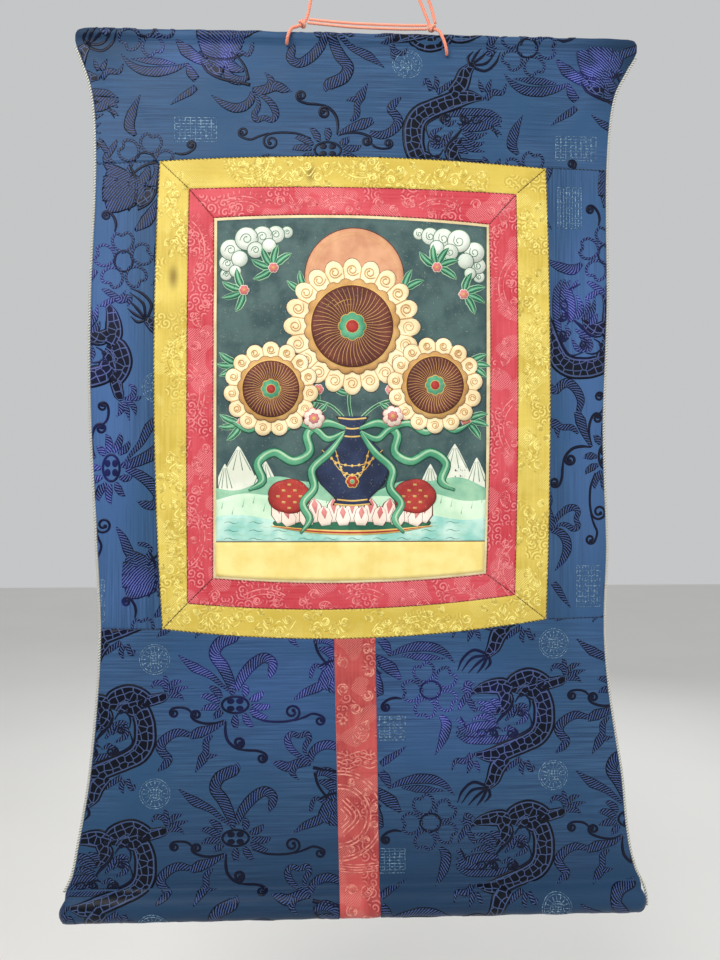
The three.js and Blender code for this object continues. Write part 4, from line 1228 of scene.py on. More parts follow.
class Shapes:
    """Closed low forms gathered on a flat chart in millimetres: places, height shares,
    distances across and along, share of the half width, faces, kind of finish and rings."""

    def __init__(self):
        self.parts = []

    def add(self, place, height, across, along, rim, faces, kind, columns=None):
        rings = np.arange(len(faces)) // (columns or len(faces))
        self.parts.append((place, height, across, along, rim, faces, kind, rings))

    def band(self, kind, points, halves, spacing=1.5, flat=False):
        """A ribbon: at each step along its middle line, a low domed section with a flat back."""
        line, along, half = smooth_path(points, halves, spacing)
        step = np.gradient(line, axis=0)
        side = paired(-step[:, 1], step[:, 0]) / np.hypot(*step.T)[:, None]
        share, top = FLAT_SECTION if flat else DOMED_SECTION
        across = half[:, None] * share
        place = line[:, None] + side[:, None] * across[..., None]
        rows, columns = len(line), len(share)
        self.add(place.reshape(-1, 2), np.tile(top, rows), across.ravel(), np.repeat(along, columns),
                 np.tile(np.abs(share), rows), ring_faces(rows - 1, columns), kind, columns)

    def thread(self, points, half, spacing=1.5, kind=0):
        """A flat band of even width."""
        self.band(kind, points, np.full(len(points), float(half)), spacing, flat=True)

    def ring(self, kind, centre, wide, high, half):
        """A closed band round an ellipse."""
        angle = np.linspace(0, 2 * math.pi, 41)
        self.thread(paired(centre[0] + wide * np.cos(angle), centre[1] + high * np.sin(angle)),
                    half, 1.2, kind)

    def rounds(self, kind, place, height):
        """Rings of points that are stored from the middle out and back, as one closed form."""
        rows, columns = place.shape[0] - 1, place.shape[1]
        flat = place.reshape(-1, 2)
        self.add(flat, np.repeat(height, columns), flat[:, 0], flat[:, 1], np.zeros(len(flat)),
                 ring_faces(rows, columns)[:, [0, 3, 2, 1]], kind, columns)

    def disc(self, kind, centre, wide, high):
        """A low dome inside an ellipse, with a flat back."""
        size = max(wide, high)
        angle = np.linspace(0, 2 * math.pi, int(np.clip(6 + 3 * size, 8, 24)) + 1)[:-1]
        share, level = np.array(SMALL_DISC if size < 2 else LARGE_DISC).T
        self.rounds(kind, paired(centre[0] + wide * share[:, None] * np.cos(angle),
                                    centre[1] + high * share[:, None] * np.sin(angle)), level)

    def curl(self, kind, points, centre, radius, turns, half):
        """A tendril whose line runs on into a spiral that closes in by half in each turn."""
        last = np.array(points[-1], float) - centre
        steps = max(int(abs(turns) * 8), 4)
        share = np.arange(1, steps + 1) / steps
        size = np.hypot(*last) * (1 - share) + radius * share * 0.38
        coil = out_from(*centre, size, math.atan2(last[1], last[0]) + 2 * math.pi * turns * share)
        line = np.vstack([points, coil])
        halves = np.concatenate([[half * 0.5], np.full(len(line) - 2, float(half)), [half * 0.8]])
        self.band(kind, line, halves, 1.5, flat=True)
        self.disc(kind, tuple(coil[-1]), half * 1.5, half * 1.5)

    def spiral(self, x, s, radius, turns, start, half=0.7, kind=0):
        """A curl round a centre, begun at an angle in degrees, with a short lead into it."""
        angle = math.radians(start)
        first = out_from(x, s, radius, angle)
        reach = math.copysign(radius, turns)
        lead = (first[0] - reach * -math.sin(angle) * 0.7, first[1] - reach * math.cos(angle) * 0.7)
        self.curl(kind, [lead, first], (x, s), radius, turns, half)

    def joined(self):
        starts = np.cumsum([0] + [len(part[0]) for part in self.parts])
        columns = [np.concatenate([part[k] for part in self.parts]) for k in range(5)]
        faces = np.concatenate([part[5] + start for part, start in zip(self.parts, starts)])
        kinds = np.concatenate([np.full(len(part[5]), part[6]) for part in self.parts])
        before = np.cumsum([0] + [part[7][-1] + 1 for part in self.parts])
        rings = np.concatenate([part[7] + start for part, start in zip(self.parts, before)])
        return (*columns, faces, kinds, rings)


def chart_unit(dragon, flower):
    """One repeat of the brocade: its satin shapes, in millimetres from the lotus. The dragon and
    the flower can lie off their charted places by so many steps, where the cloth is stretched."""
    shapes = Shapes()

    def scaled(points):
        points = np.atleast_2d(np.array(points, float))
        middle = points[:, 0].mean()
        return (points + (dragon if middle < -380 else flower if middle > 700 else (0, 0))) * STEP
    for base, tip in LOTUS_PETALS:
        base, tip = np.array(base, float), np.array(tip, float)
        bow = np.array([-(tip - base)[1], (tip - base)[0]]) * 0.10
        points = [base, base + 0.4 * (tip - base) + bow, base + 0.75 * (tip - base) + bow, tip]
        shapes.band(HATCH, scaled(points), np.array([10, 23, 17, 1.5]) * STEP, 1.4)
    for kind, *numbers in RIBBONS + PEONY + DRAGON:
        rows = np.array(numbers, float).reshape(-1, 3)
        shapes.band(kind, scaled(rows[:, :2]), rows[:, 2] * STEP * FULLER[kind], 1.8, flat=kind == LINE)
    for points, centre, radius, turns, half in TENDRILS:
        line = scaled([centre, *points])
        shapes.curl(LINE, line[1:], line[0], radius * STEP, turns, half * STEP)
    centre, reach, halves, directions = FLOWER
    for direction in directions:
        loop = [(reach + a, b) for a, b in PETAL_LOOP]
        shapes.band(HATCH, scaled(turned(loop, direction, *centre)), np.array(halves) * STEP, 1.6)
    for centre, wide, high, half in RINGS:
        shapes.ring(LINE, scaled(centre)[0], wide * STEP, high * STEP, half * STEP)
    for centre, wide, high in DOTS:
        shapes.disc(LINE, scaled(centre)[0], wide * STEP, high * STEP)
    return shapes.joined()


def lattice(shapes, x, y, offsets, across, wide, high, half):
    """Level and upright silver threads, at shares of a width and height from a middle."""
    for offset in offsets:
        for line in ([(x - wide, y + offset * across[1]), (x + wide, y + offset * across[1])],
                     [(x + offset * across[0], y - high), (x + offset * across[0], y + high)]):
            shapes.thread(np.array(line) * STEP, half * STEP, 2.5, SILVER)


def silver_unit():
    """The silver roundel and square: rings and a lattice of fine threads, with no signs."""
    shapes = Shapes()
    (x, y), radius = ROUNDEL
    for share in (1.0, 0.86, 0.45):
        shapes.ring(SILVER, (x * STEP, y * STEP), radius * share * STEP, radius * share * STEP, 2.2 * STEP)
    for angle in np.radians(np.arange(0, 360, 22.5)):
        ends = [out_from(x, y, radius * reach, angle) for reach in (0.5, 0.66, 0.82)]
        shapes.thread(np.array(ends) * STEP, 2.6 * STEP, 2.0, SILVER)
    reach = radius * 0.36
    lattice(shapes, x, y, (-0.28, -0.09, 0.09, 0.28), (radius, radius), reach, reach, 2.4)
    (x, y), wide, high = SILVER_PATCH
    lattice(shapes, x, y, np.linspace(-1, 1, 9), (wide, high), wide, high, 2.0)
    return shapes.joined()


def lay_shapes(name, unit, panel, places, materials, rise, sink):
    """Lays copies of the flat shapes on a panel. A copy is a place (x, down) and a quarter turn.
    Points past a seam move onto it. Rings of faces that are wholly past it go, and the open
    ends are closed."""
    flat, height, across, along, rim, faces, kinds, rings = unit
    points, uvs, rims, quads, sorts, start = [], [], [], [], [], 0
    for x0, s0, quarter in places:
        cos, sin = QUARTERS[quarter]
        x = x0 + flat[:, 0] * cos - flat[:, 1] * sin
        s = s0 + flat[:, 0] * sin + flat[:, 1] * cos
        inside_x, inside_s = panel.clamp(x, s)
        moved = np.hypot(inside_x - x, inside_s - s) > 1e-6
        keep = (np.bincount(rings, weights=~moved[faces].all(axis=1)) > 0)[rings]
        if not keep.any():
            continue
        used, index = np.unique(faces[keep], return_inverse=True)
        lift = SHEET / 2 + height[used] * np.where(height[used] > 0, rise, sink)
        points.append(panel.lay(inside_x[used], inside_s[used], lift))
        uvs.append(paired(across[used], along[used]))
        rims.append(rim[used])
        quads.append(index.reshape(-1, 4) + start)
        sorts.append(kinds[keep])
        start += len(used)
    close_up(make_piece(
        name, np.vstack(points), np.vstack(quads), materials, kinds=np.concatenate(sorts),
        uv=np.vstack(uvs), rim=np.concatenate(rims)))


def tiles(x0, s0, quarter, lean):
    """Places of the repeats around one lotus. The cloth is cut a little off its grain, so the
    rows climb by lean from one repeat to the next."""
    cos, sin = QUARTERS[quarter]
    steps = [(across * REPEAT[0], down * REPEAT[1] + across * lean)
             for across in range(-2, 3) for down in range(-5, 5)]
    return [(x0 + a * cos - b * sin, s0 + a * sin + b * cos, quarter) for a, b in steps]


# Each panel's lotus and lean, and how far its dragon and its flower lie off their charted places
BROCADE = {
    "blue_panel_bottom_left": ((-104.2, 603.0, 0, -12.0), (0, 0), (0, 0)),
    "blue_panel_bottom_right": ((254.5, 591.4, 0, -17.4), (0, 0), (0, 0)),
    "blue_panel_top": ((-21.8, 107.4, 2, 11.7), (19, -65), (18, 33)),
    "blue_side_left": ((-231.0, 49.0, 1, -17.4), (0, 0), (0, -72)),
    "blue_side_right": ((214.8, 38.1, 1, -17.4), (0, 0), (0, 0)),
}
silver = mottled("silver_thread", (52, 84, 118), (138, 168, 184), 620.0, 3.0, 0.46, 0.66,
                 Metallic=0.3, Roughness=0.4)
satins = [hatched_satin(0.0028, 0.85), line_satin(), scale_satin(), silver.material]
silver_chart = silver_unit()
for name, (lotus, dragon, flower) in BROCADE.items():
    for label, chart, rise in (("satin", chart_unit(dragon, flower), 0.24), ("silver", silver_chart, 0.16)):
        lay_shapes(f"{name}_{label}", chart, PANELS[name], tiles(*lotus), satins, rise, 0.2)


# Hand stitches along the seams
def stitch_row(shapes, line, offset, every=3.6, length=2.3):
    """Short threads beside a seam, each turned a little from it."""
    path, along, _ = smooth_path(line, np.zeros(len(line)), 0.6)
    for start in np.arange(1.5, along[-1] - 2, every):
        first, last = (np.array([np.interp(s, along, path[:, 0]), np.interp(s, along, path[:, 1])])
                       for s in (start, start + length))
        way = (last - first) / np.linalg.norm(last - first)
        side = np.array([-way[1], way[0]])
        shapes.thread([first + side * (offset - 0.25), last + side * (offset + 0.25)], 0.24, 3.0)


def seam_stitches():
    """Stitches along every side of the three frames, their mitres and the two cross seams."""
    shapes = Shapes()
    share = np.linspace(0, 1, 16)
    for shape, way in ((YELLOW_FRAME, -0.5), (RED_FRAME, -0.5), (PAINTING_FRAME, 0.5)):
        for side in FRAME_ENDS:
            stitch_row(shapes, seam(shape, side)(share), way if side in ("bottom", "left") else -way)
    for outer, inner in ((YELLOW_FRAME, RED_FRAME), (RED_FRAME, PAINTING_FRAME)):
        for corner, place in outer["corners"].items():
            stitch_row(shapes, between_points(place, inner["corners"][corner])(share), 0.0, 2.8, 2.0)
    for level, side in ((TOP_SEAM, "top"), (BOTTOM_SEAM, "bottom")):
        for end in ("left", "right"):
            corner_x = YELLOW_FRAME["corners"][f"{side}_{end}"][0]
            x = np.linspace(side_at(SIDE_SEAMS[side][end], end), corner_x, 8)
            stitch_row(shapes, paired(x, level(x)), 0.4)
    return shapes.joined()


HERE = [(0, 0, 0)]
# A panel wider and higher than the cloth, so that no stitch is cut
open_cloth = Panel(*(lambda value, edge=edge: value * 0 + edge for edge in (-400, 400, -50, 900)))
thread = mottled("seam_thread", (34, 30, 40), (74, 58, 44), 500.0, 1.0, 0.4, 0.6,
                 Roughness=0.6, Specular_IOR_Level=0.2)
lay_shapes("seam_stitches", seam_stitches(), open_cloth, HERE, [thread.material], 0.12, 0.6)


# The silks' own woven scrolls, in millimetres
class Scrolls(Shapes):
    """The motifs of the damasks, drawn in fine flat lines."""

    def arc(self, x, s, radius, start, end, half):
        angle = np.radians(np.linspace(start, end, max(int(abs(end - start) / 12), 3)))
        self.thread(out_from(x, s, radius, angle), half, 1.6)

    def veined_leaf(self, x, s, length, turn, half=0.55):
        """A pointed leaf: two edge lines, a middle line and slanting veins."""
        wide = length * 0.28
        for way in (-1, 1):
            edge = [(0, 0), (length * 0.25, way * wide * 0.85), (length * 0.55, way * wide), (length, 0)]
            self.thread(turned(edge, turn, x, s), half, 1.4)
            for share in (0.2, 0.36, 0.52, 0.68):
                vein = [(length * share, 0), (length * (share + 0.1), way * wide * 0.75)]
                self.thread(turned(vein, turn, x, s), half * 0.7, 1.6)
        self.thread(turned([(0, 0), (length, 0)], turn, x, s), half * 0.8, 2.0)

    def medallion(self, x, s, radius, start, end):
        """A round of the damask: double arc with dots between, curls inside and strokes outside."""
        self.arc(x, s, radius, start, end, 0.7)
        self.arc(x, s, radius - 4.4, start, end, 0.55)
        for angle in np.radians(np.linspace(start, end, int(abs(end - start) / 7))):
            self.thread([out_from(x, s, radius + reach, angle) for reach in (1.6, 5.6)], 0.5, 2.5)
        for angle in np.radians(np.arange(start, end, 13)):
            self.disc(0, out_from(x, s, radius - 2.2, angle), 0.9, 0.9)
        for angle in range(start + 18, end, 42):
            self.spiral(*out_from(x, s, radius - 9.5, math.radians(angle)), 3.6, 1.5, angle + 150, 0.65)

    def patch(self, x, s, turn):
        """Four curls on one winding stem, with four leaves."""
        stem = turned([(-19, 4), (-11, -4), (-3, 4), (5, -4), (13, 4), (20, -3)], turn, x, s)
        self.band(0, stem, [0.4, 0.7, 0.7, 0.7, 0.7, 0.4], 1.5, flat=True)
        for a, b, way, start in ((-12, 4, 1, 200), (-4, -5, -1, 160), (5, 5, 1, 200), (13, -5, -1, 160)):
            self.spiral(*turned([(a, b)], turn, x, s)[0], 4.0, 1.5 * way, start + turn)
        for a, b, lean in ((-17, -6, -150), (1, 10, 40), (10, 9, 20), (-8, -10, -130)):
            self.veined_leaf(*turned([(a, b)], turn, x, s)[0], 8.5, lean + turn, 0.45)


# Patches of curls on the yellow strips: x, down, turn
GOLD_PATCHES = [
    (-152, 186, 84), (-161, 152, 90), (-158, 396, 90), (-153, 436, 80), (-157, 478, 96), (-152, 514, 90),
    (-62, 131, 4), (-36, 127, 0), (30, 128, 3), (66, 132, -4), (104, 131, 4), (160, 176, 92),
    (162, 236, 86), (161, 316, 92), (163, 376, 88), (162, 444, 92), (163, 500, 88), (-118, 529, 2),
    (-70, 533, -4), (-20, 534, 2), (36, 534, -2), (90, 532, 3), (140, 525, -4),
]


def gold_scrolls():
    """The yellow damask's scrolls, where the strips show them."""
    art = Scrolls()
    for place in GOLD_PATCHES:
        art.patch(*place)
    for place in ((-144, 294.6, 20, 90, 270), (178, 276, 20, 90, 270), (-92, 116, 18, 0, 180),
                  (8, 110, 22, 20, 160), (60, 547, 22, 200, 340)):
        art.medallion(*place)
    for s in np.arange(448, 472, 3.2):
        art.thread([(-166, s), (-150, s + 2.0)], 0.5, 2.5)
    return art.joined()


def red_scrolls():
    """The red damask's scrolls in the four strips inside the gold ones."""
    art = Scrolls()
    for s in (198, 326, 453):
        art.medallion(-165, s, 34, -52, 52)
        art.medallion(166, s + 30, 34, 128, 232)
    for s in (262, 390):
        art.veined_leaf(-140, s - 8, 15, 70)
        for x, rise, radius, turns, start in (
                (-131, 12, 4.4, 1.5, 200), (-139, 22, 4.4, -1.5, 20), (-130, -16, 4.0, -1.5, 120)):
            art.spiral(x, s + rise, radius, turns, start)
    for s in (166, 294, 420, 476):
        art.veined_leaf(139, s - 8, 15, 100)
        art.spiral(130, s + 12, 4.4, -1.5, 340)
        art.spiral(139, s - 16, 4.0, 1.5, 60)
    for x in (-98, -10, 78):
        art.medallion(x, 180, 30, 232, 308)
        art.medallion(x + 20, 534, 34, 236, 304)
        for along, s, radius, turns, start, half in (
                (34, 154, 4.6, 1.5, 200, 0.75), (47, 160, 4.0, -1.5, 40, 0.7),
                (-24, 505, 4.6, 1.5, 220, 0.75), (-34, 512, 4.0, -1.5, 20, 0.7)):
            art.spiral(x + along, s, radius, turns, start, half)
        art.veined_leaf(x + 54, 152, 14, 20)
        art.veined_leaf(x - 20, 514, 14, 10)
    for s in (148, 151, 154, 157):
        art.band(0, [(-56, s), (-50, s + 8), (-44, s)], [0.5, 0.6, 0.5], 1.5, flat=True)
    return art.joined()


def stripe_scrolls():
    """The stripe's scrolls: curls and a leaf above, a double round below, a leaf on the sleeve."""
    art = Scrolls()
    for x, s, way, start in ((13.5, 554, 1, 200), (14.4, 596, -1, 150), (3.6, 608, 1, 30),
                             (-9, 566, -1, 40), (15, 575, 1, 260), (-8, 590, 1, 140)):
        art.spiral(x, s, 5.0, 1.6 * way, start, 0.85)
    art.veined_leaf(3, 640, 24, -62, 0.7)
    for angle in range(0, 360, 60):
        art.disc(0, out_from(-8, 619, 3.0, math.radians(angle)), 1.5, 1.5)
    for s in (647, 651, 655, 659):
        art.thread([(-14, s), (-4, s + 3), (6, s), (16, s + 3), (22, s + 1)], 0.6, 1.6)
    for radius in (25, 28.5, 38, 41):
        art.arc(-11.7, 705, radius, -95, 95, 0.8)
    for angle in range(-70, 90, 28):
        art.spiral(*out_from(-11.7, 705, 33, math.radians(angle)), 3.6, 1.5, angle + 120, 0.75)
    for reach in (7, 11, 15, 19):
        near = -11.7 + reach * 0.2
        art.thread([(near, 705 - reach), (-11.7 + reach, 705), (near, 705 + reach)], 0.7)
    for s in np.arange(748, 756, 2.2):
        art.thread([(-12, s), (6, s + 1.5), (24, s)], 0.5, 2.2)
    for s, way in ((772, 1), (790, -1)):
        art.spiral(0, s, 5.0, 1.6 * way, 200, 0.85)
        art.veined_leaf(8, s + 6, 16, -40 * way, 0.7)
    return art.joined()


gold_line = damask_line("gold_scroll_line", (188, 162, 62), (242, 228, 130))
red_line = damask_line("red_scroll_line", (196, 76, 84), (228, 132, 132))
stripe_line = damask_line("stripe_scroll_line", (178, 82, 78), (218, 140, 124))
for silk, chart, line in (("yellow", gold_scrolls(), gold_line), ("red", red_scrolls(), red_line)):
    for side_name in SIDES:
        name = f"{silk}_border_{side_name}"
        lay_shapes(f"{name}_scrolls", chart, PANELS[name], HERE, [line], 0.16, 0.2)
lay_shapes("red_stripe_scrolls", stripe_scrolls(), PANELS["red_stripe"], HERE,
           [stripe_line], 0.2, 0.2)


# The painted scene: a vase of blossoms between hills, a design of this part's own
PAINTS = {
    "night": ((52, 76, 78), (76, 100, 98)), "cloud": ((206, 214, 200), (232, 236, 224)),
    "cloud_line": ((74, 112, 92), (96, 136, 110)), "peach": ((196, 136, 102), (218, 162, 124)),
    "cream": ((236, 212, 164), (250, 234, 192)), "ochre": ((190, 140, 82), (212, 168, 106)),
    "umber": ((84, 42, 36), (112, 58, 46)), "gold": ((206, 160, 78), (236, 200, 118)),
    "indigo": ((30, 40, 66), (46, 58, 88)), "leaf": ((30, 84, 66), (50, 112, 84)),
    "jade": ((70, 146, 110), (104, 176, 136)), "mint": ((150, 196, 156), (186, 216, 176)),
    "rose": ((206, 112, 112), (228, 150, 144)), "blush": ((236, 214, 196), (248, 236, 222)),
    "crimson": ((150, 46, 44), (182, 62, 54)), "hill": ((120, 176, 146), (160, 204, 170)),
    "meadow": ((190, 222, 190), (216, 238, 210)), "water": ((140, 200, 186), (196, 228, 214)),
    "snow": ((214, 218, 200), (236, 238, 222)), "straw": ((232, 208, 122), (244, 224, 146)),
    "ink": ((40, 36, 34), (62, 52, 46)),
}
PAINT = {name: index for index, name in enumerate(PAINTS)}


class Painting(Shapes):
    """Thin closed coats of paint. Each coat lies one layer above all that it covers, which a
    chart of small squares remembers. Coats that are put on together share a layer."""

    SQUARE = 2.5
    ROWS, COLUMNS = 140, 160
    LOWEST = 7.0

    def __init__(self):
        super().__init__()
        self.reached = np.zeros((self.ROWS, self.COLUMNS), int)
        self.waiting = None

    def squares(self, place):
        """The chart's squares under a coat's points and just round them."""
        column = ((place[:, 0] + 180) / self.SQUARE).astype(int)
        row = ((place[:, 1] - 150) / self.SQUARE).astype(int)
        step = np.array([-1, 0, 1])
        rows = np.clip(row[:, None, None] + step[:, None], 0, self.ROWS - 1)
        columns = np.clip(column[:, None, None] + step, 0, self.COLUMNS - 1)
        return rows + 0 * columns, columns + 0 * rows

    def add(self, place, height, across, along, rim, faces, kind, columns=None):
        super().add(place, height, across, along, rim, faces, PAINT[kind], columns)
        coat = self.parts.pop()
        if self.waiting is None:
            self.put_on([coat])
        else:
            self.waiting.append(coat)

    def put_on(self, coats):
        under = [self.squares(coat[0]) for coat in coats]
        layer = 1 + max(self.reached[rows, columns].max() for rows, columns in under)
        for (rows, columns), (place, height, *rest) in zip(under, coats):
            self.reached[rows, columns] = layer
            self.parts.append((place, np.where(height > 0, layer + self.LOWEST, -1.0), *rest))

    def together(self, draw):
        """Puts on all that draw() makes as one layer."""
        self.waiting = []
        draw()
        coats, self.waiting = self.waiting, None
        self.put_on(coats)

    def patch(self, kind, upper, lower, rows=8):
        """A coat between an upper and a lower line of as many points, blended straight."""
        upper, lower = np.array(upper, float), np.array(lower, float)
        share = np.linspace(0, 1, rows + 1)[:, None, None]
        top = (upper + (lower - upper) * share).reshape(-1, 2)
        place, height = np.vstack([top, top]), np.repeat([1.0, -1.0], len(top))
        faces = slab_faces(rows, len(upper) - 1)
        self.add(place, height, place[:, 0], place[:, 1], height * 0, faces, kind)

    def round(self, kind, x, s, radii, turn=0.0, points=72, flatten=1.0):
        """A coat inside a polar outline. radii is a radius or a function of the angle."""
        angle = np.linspace(0, 2 * math.pi, points + 1)[:-1]
        size = radii(angle) if callable(radii) else np.full(points, float(radii))
        front = np.linspace(0.04, 1, max(int(size.max() / 4.6), 1) + 1)
        behind = np.linspace(1, 0.04, max(int(size.max() / 14), 1) + 1)
        share = np.concatenate([front, behind])[:, None]
        height = np.repeat([1.0, -1.0], [len(front), len(behind)])
        self.rounds(kind, paired(x + share * size * np.cos(angle + turn),
                                    s + share * size * flatten * np.sin(angle + turn)), height)

    def stroke(self, kind, points, halves, spacing=2.5):
        halves = halves if hasattr(halves, "__len__") else [halves] * len(points)
        self.band(kind, points, halves, spacing, flat=True)

    def outlined(self, kind, edge, x, s, radii, line=0.45, **settings):
        """A round coat over a slightly larger one in the outline's colour."""
        grown = (lambda angle: radii(angle) + line) if callable(radii) else radii + line
        self.round(edge, x, s, grown, **settings)
        self.round(kind, x, s, radii, **settings)


def scallops(radius, count, depth):
    """Radius by angle: a round with bulging petals, |cos| of half the petal's angle to 0.6."""
    return lambda angle: radius * (1 - depth + depth * np.abs(np.cos(count * angle / 2)) ** 0.6)


def blossom(art, x, s, radius, petals, turn=0.0):
    """An open blossom: two rounds of scalloped petals with curls, and a rayed centre."""
    half_petal = math.pi / petals
    art.outlined("cream", "umber", x, s, scallops(radius, petals, 0.14), turn=turn, points=petals * 8)
    for angle in np.arange(petals) * 2 * math.pi / petals + turn:
        middle = out_from(x, s, radius * 0.83, angle)
        art.spiral(*middle, radius * 0.085, 1.5, math.degrees(angle) + 150, 0.5, "ochre")
        crease = [out_from(x, s, reach * radius, angle + half_petal) for reach in (0.66, 0.8, 0.9)]
        art.stroke("ochre", crease, [0.35, 0.45, 0.35])
    art.outlined("ochre", "umber", x, s, scallops(radius * 0.7, petals, 0.10), turn=turn + half_petal,
                 points=petals * 7)
    art.outlined("umber", "gold", x, s, radius * 0.6, line=0.8)

    def rays():
        for angle in np.linspace(0, 2 * math.pi, 48, endpoint=False):
            line = [out_from(x, s, reach * radius, angle + bend)
                    for reach, bend in ((0.2, 0), (0.39, 0.07), (0.575, 0))]
            art.stroke("ochre", line, [0.22, 0.34, 0.2], 2.6)
    art.together(rays)
    art.outlined("jade", "gold", x, s, scallops(radius * 0.2, 8, 0.16), line=0.7)
    art.outlined("crimson", "gold", x, s, radius * 0.09, line=0.5)


def leaf(art, x, s, length, turn):
    """A pointed leaf in two greens: a dark one, a lighter one within it, and its midrib."""
    line = turned([(0, 0), (length * 0.35, -length * 0.06), (length * 0.7, -length * 0.05),
                   (length, length * 0.02)], turn, x, s)
    wide = length * 0.19
    for kind, *halves in (("mint", 0.5, wide + 0.35, wide * 0.8 + 0.35, 0.4),
                          ("leaf", 0.3, wide, wide * 0.8, 0.2),
                          ("jade", 0.2, wide * 0.45, wide * 0.35, 0.1), ("mint", 0.2, 0.3, 0.25, 0.1)):
        art.stroke(kind, line, halves)


CLOUD_PUFFS = [(46, -8, 5), (-8, 30, 5), (36, -6, 7.5), (-7, 20, 7), (24, -4, 9), (-4, 8, 9), (10, -2, 10),
               (18, 8, 7), (30, 4, 6), (4, 16, 7), (0, 27, 5)]
SUN = (2, 222, 44)
PEAKS = ((-101, 372, 24), (-78, 384, 18), (-113, 388, 14), (92, 370, 24), (112, 382, 16), (70, 388, 15))
SPRAYS = ((-70, 214, (-160, -120, -80, -40, 150)), (-96, 234, (160, -160, -110, 110)),
          (76, 212, (-20, -60, -100, -140, 30)), (100, 236, (20, -20, -70, 60)), (-40, 236, (-110, -150)),
          (46, 234, (-70, -30)), (-100, 300, (180, 150, -150, 110)), (103, 300, (0, 30, -30, 70)),
          (-98, 352, (170, 130, -160)), (102, 350, (10, 50, -20)), (-30, 322, (170, 110)),
          (34, 322, (10, 70)))
STEMS = ([(-3, 352), (-20, 336), (-44, 330), (-64, 320)], [(3, 352), (22, 336), (46, 328), (66, 316)],
         [(0, 352), (-3, 330), (2, 306), (0, 290)])
STEM_LEAVES = ((-22, 334, 140), (-42, 331, -80), (24, 334, 40), (44, 328, -100), (-2, 326, 200),
               (2, 318, -20))
GILT_RIM = [(-36, 448), (0, 449.5), (36, 448)]
# The vase's half widths down its height
VASE = np.array([(346, 14), (350, 11), (355, 8.5), (361, 9.5), (368, 17), (376, 25), (386, 31), (396, 32),
                 (406, 28), (414, 20), (420, 14), (425, 17.0)]).T
VASE_RIBBONS = (
    ([(6, 357), (24, 352), (40, 362), (38, 378), (52, 386), (70, 378), (84, 388), (80, 404), (92, 412)],
     4.2),
    ([(7, 360), (22, 366), (32, 358), (50, 352), (66, 360), (78, 352), (92, 358), (106, 352)], 3.2),
    ([(8, 362), (20, 378), (36, 394), (34, 410), (44, 424), (38, 438), (46, 450)], 3.8))


def cloud(art, x, s, way):
    """A bank of curled clouds that trails off to one side."""
    for a, b, radius in CLOUD_PUFFS:
        art.outlined("cloud", "cloud_line", x + way * a, s + b, radius, line=0.7, points=36)
    for a, b, radius in CLOUD_PUFFS[:8]:
        art.spiral(x + way * a, s + b, radius * 0.5, 1.2 * way, 200, 0.4, "cloud_line")


def land_and_sky(art):
    """Sky, sun, snowy peaks, hills and water, between lines that keep inside the canvas's edge."""
    x = np.linspace(-119.6, 120.2, 61)
    top, foot, left, right = (seam_line(PAINTING_FRAME, side) for side in SIDES)

    def line(level, curve=0.0):
        down = np.full(len(x), float(level)) + curve
        start, end = left(down) + 2.7, right(down) - 2.4
        return paired(start + (end - start) * (x - x[0]) / (x[-1] - x[0]), down)
    hills = 9 * np.sin(x / 21 + 1) + 4 * np.sin(x / 9)
    art.patch("night", paired(line(180.0)[:, 0], top(x) + 2.7), line(415.0), 46)
    art.outlined("peach", "umber", *SUN, line=0.8)
    for radius in (40.5, 37.5):
        art.stroke("ochre", out_from(*SUN[:2], radius, np.linspace(0, 2 * math.pi, 40)), 0.28)
    for peak_x, peak, wide in PEAKS:
        low, high = max(peak_x - wide, -119.0), min(peak_x + wide, 119.6)
        span = np.linspace(low, high, 25)
        rise = peak + (420 - peak) * (np.abs(span - peak_x) / wide) ** 1.15
        art.patch("snow", paired(span, rise), paired(span, np.full(25, 424.0)), 8)
        for lean in (-0.5, -0.2, 0.15, 0.45):
            foot_x = min(max(peak_x + lean * wide, low), high)
            art.stroke("cloud_line", [(peak_x + lean * 3, peak + 4), (foot_x, peak + 22)], [0.2, 0.5])
    art.patch("hill", line(406.0, hills * 0.6), line(440.0), 10)
    art.patch("meadow", line(418.0, hills[::-1] * 0.35), line(446.0), 8)
    for k in range(26):
        place, sway = -116 + 9.3 * k, 5 * math.sin(k * 1.7)
        art.stroke("hill", [(place, 428 + sway), (place + 1.5, 421 + sway)], [0.6, 0.1])
    art.patch("water", line(436.0, 2.5 * np.sin(x / 13)), line(458.0), 8)
    for k in range(5):
        for start in np.arange(-114 + 7 * (k % 2), 104, 22):
            points = [(start + a, b + 3.6 * k) for a, b in ((0, 441), (4, 439.6), (9, 441.4), (13, 440.4))]
            art.stroke("mint" if k % 2 else "leaf", points, [0.15, 0.35, 0.3, 0.1])
    art.patch("straw", line(457.6), paired(line(484.0)[:, 0], foot(x) - 2.4), 10)
    art.stroke("umber", line(457.6)[::4], 0.5)


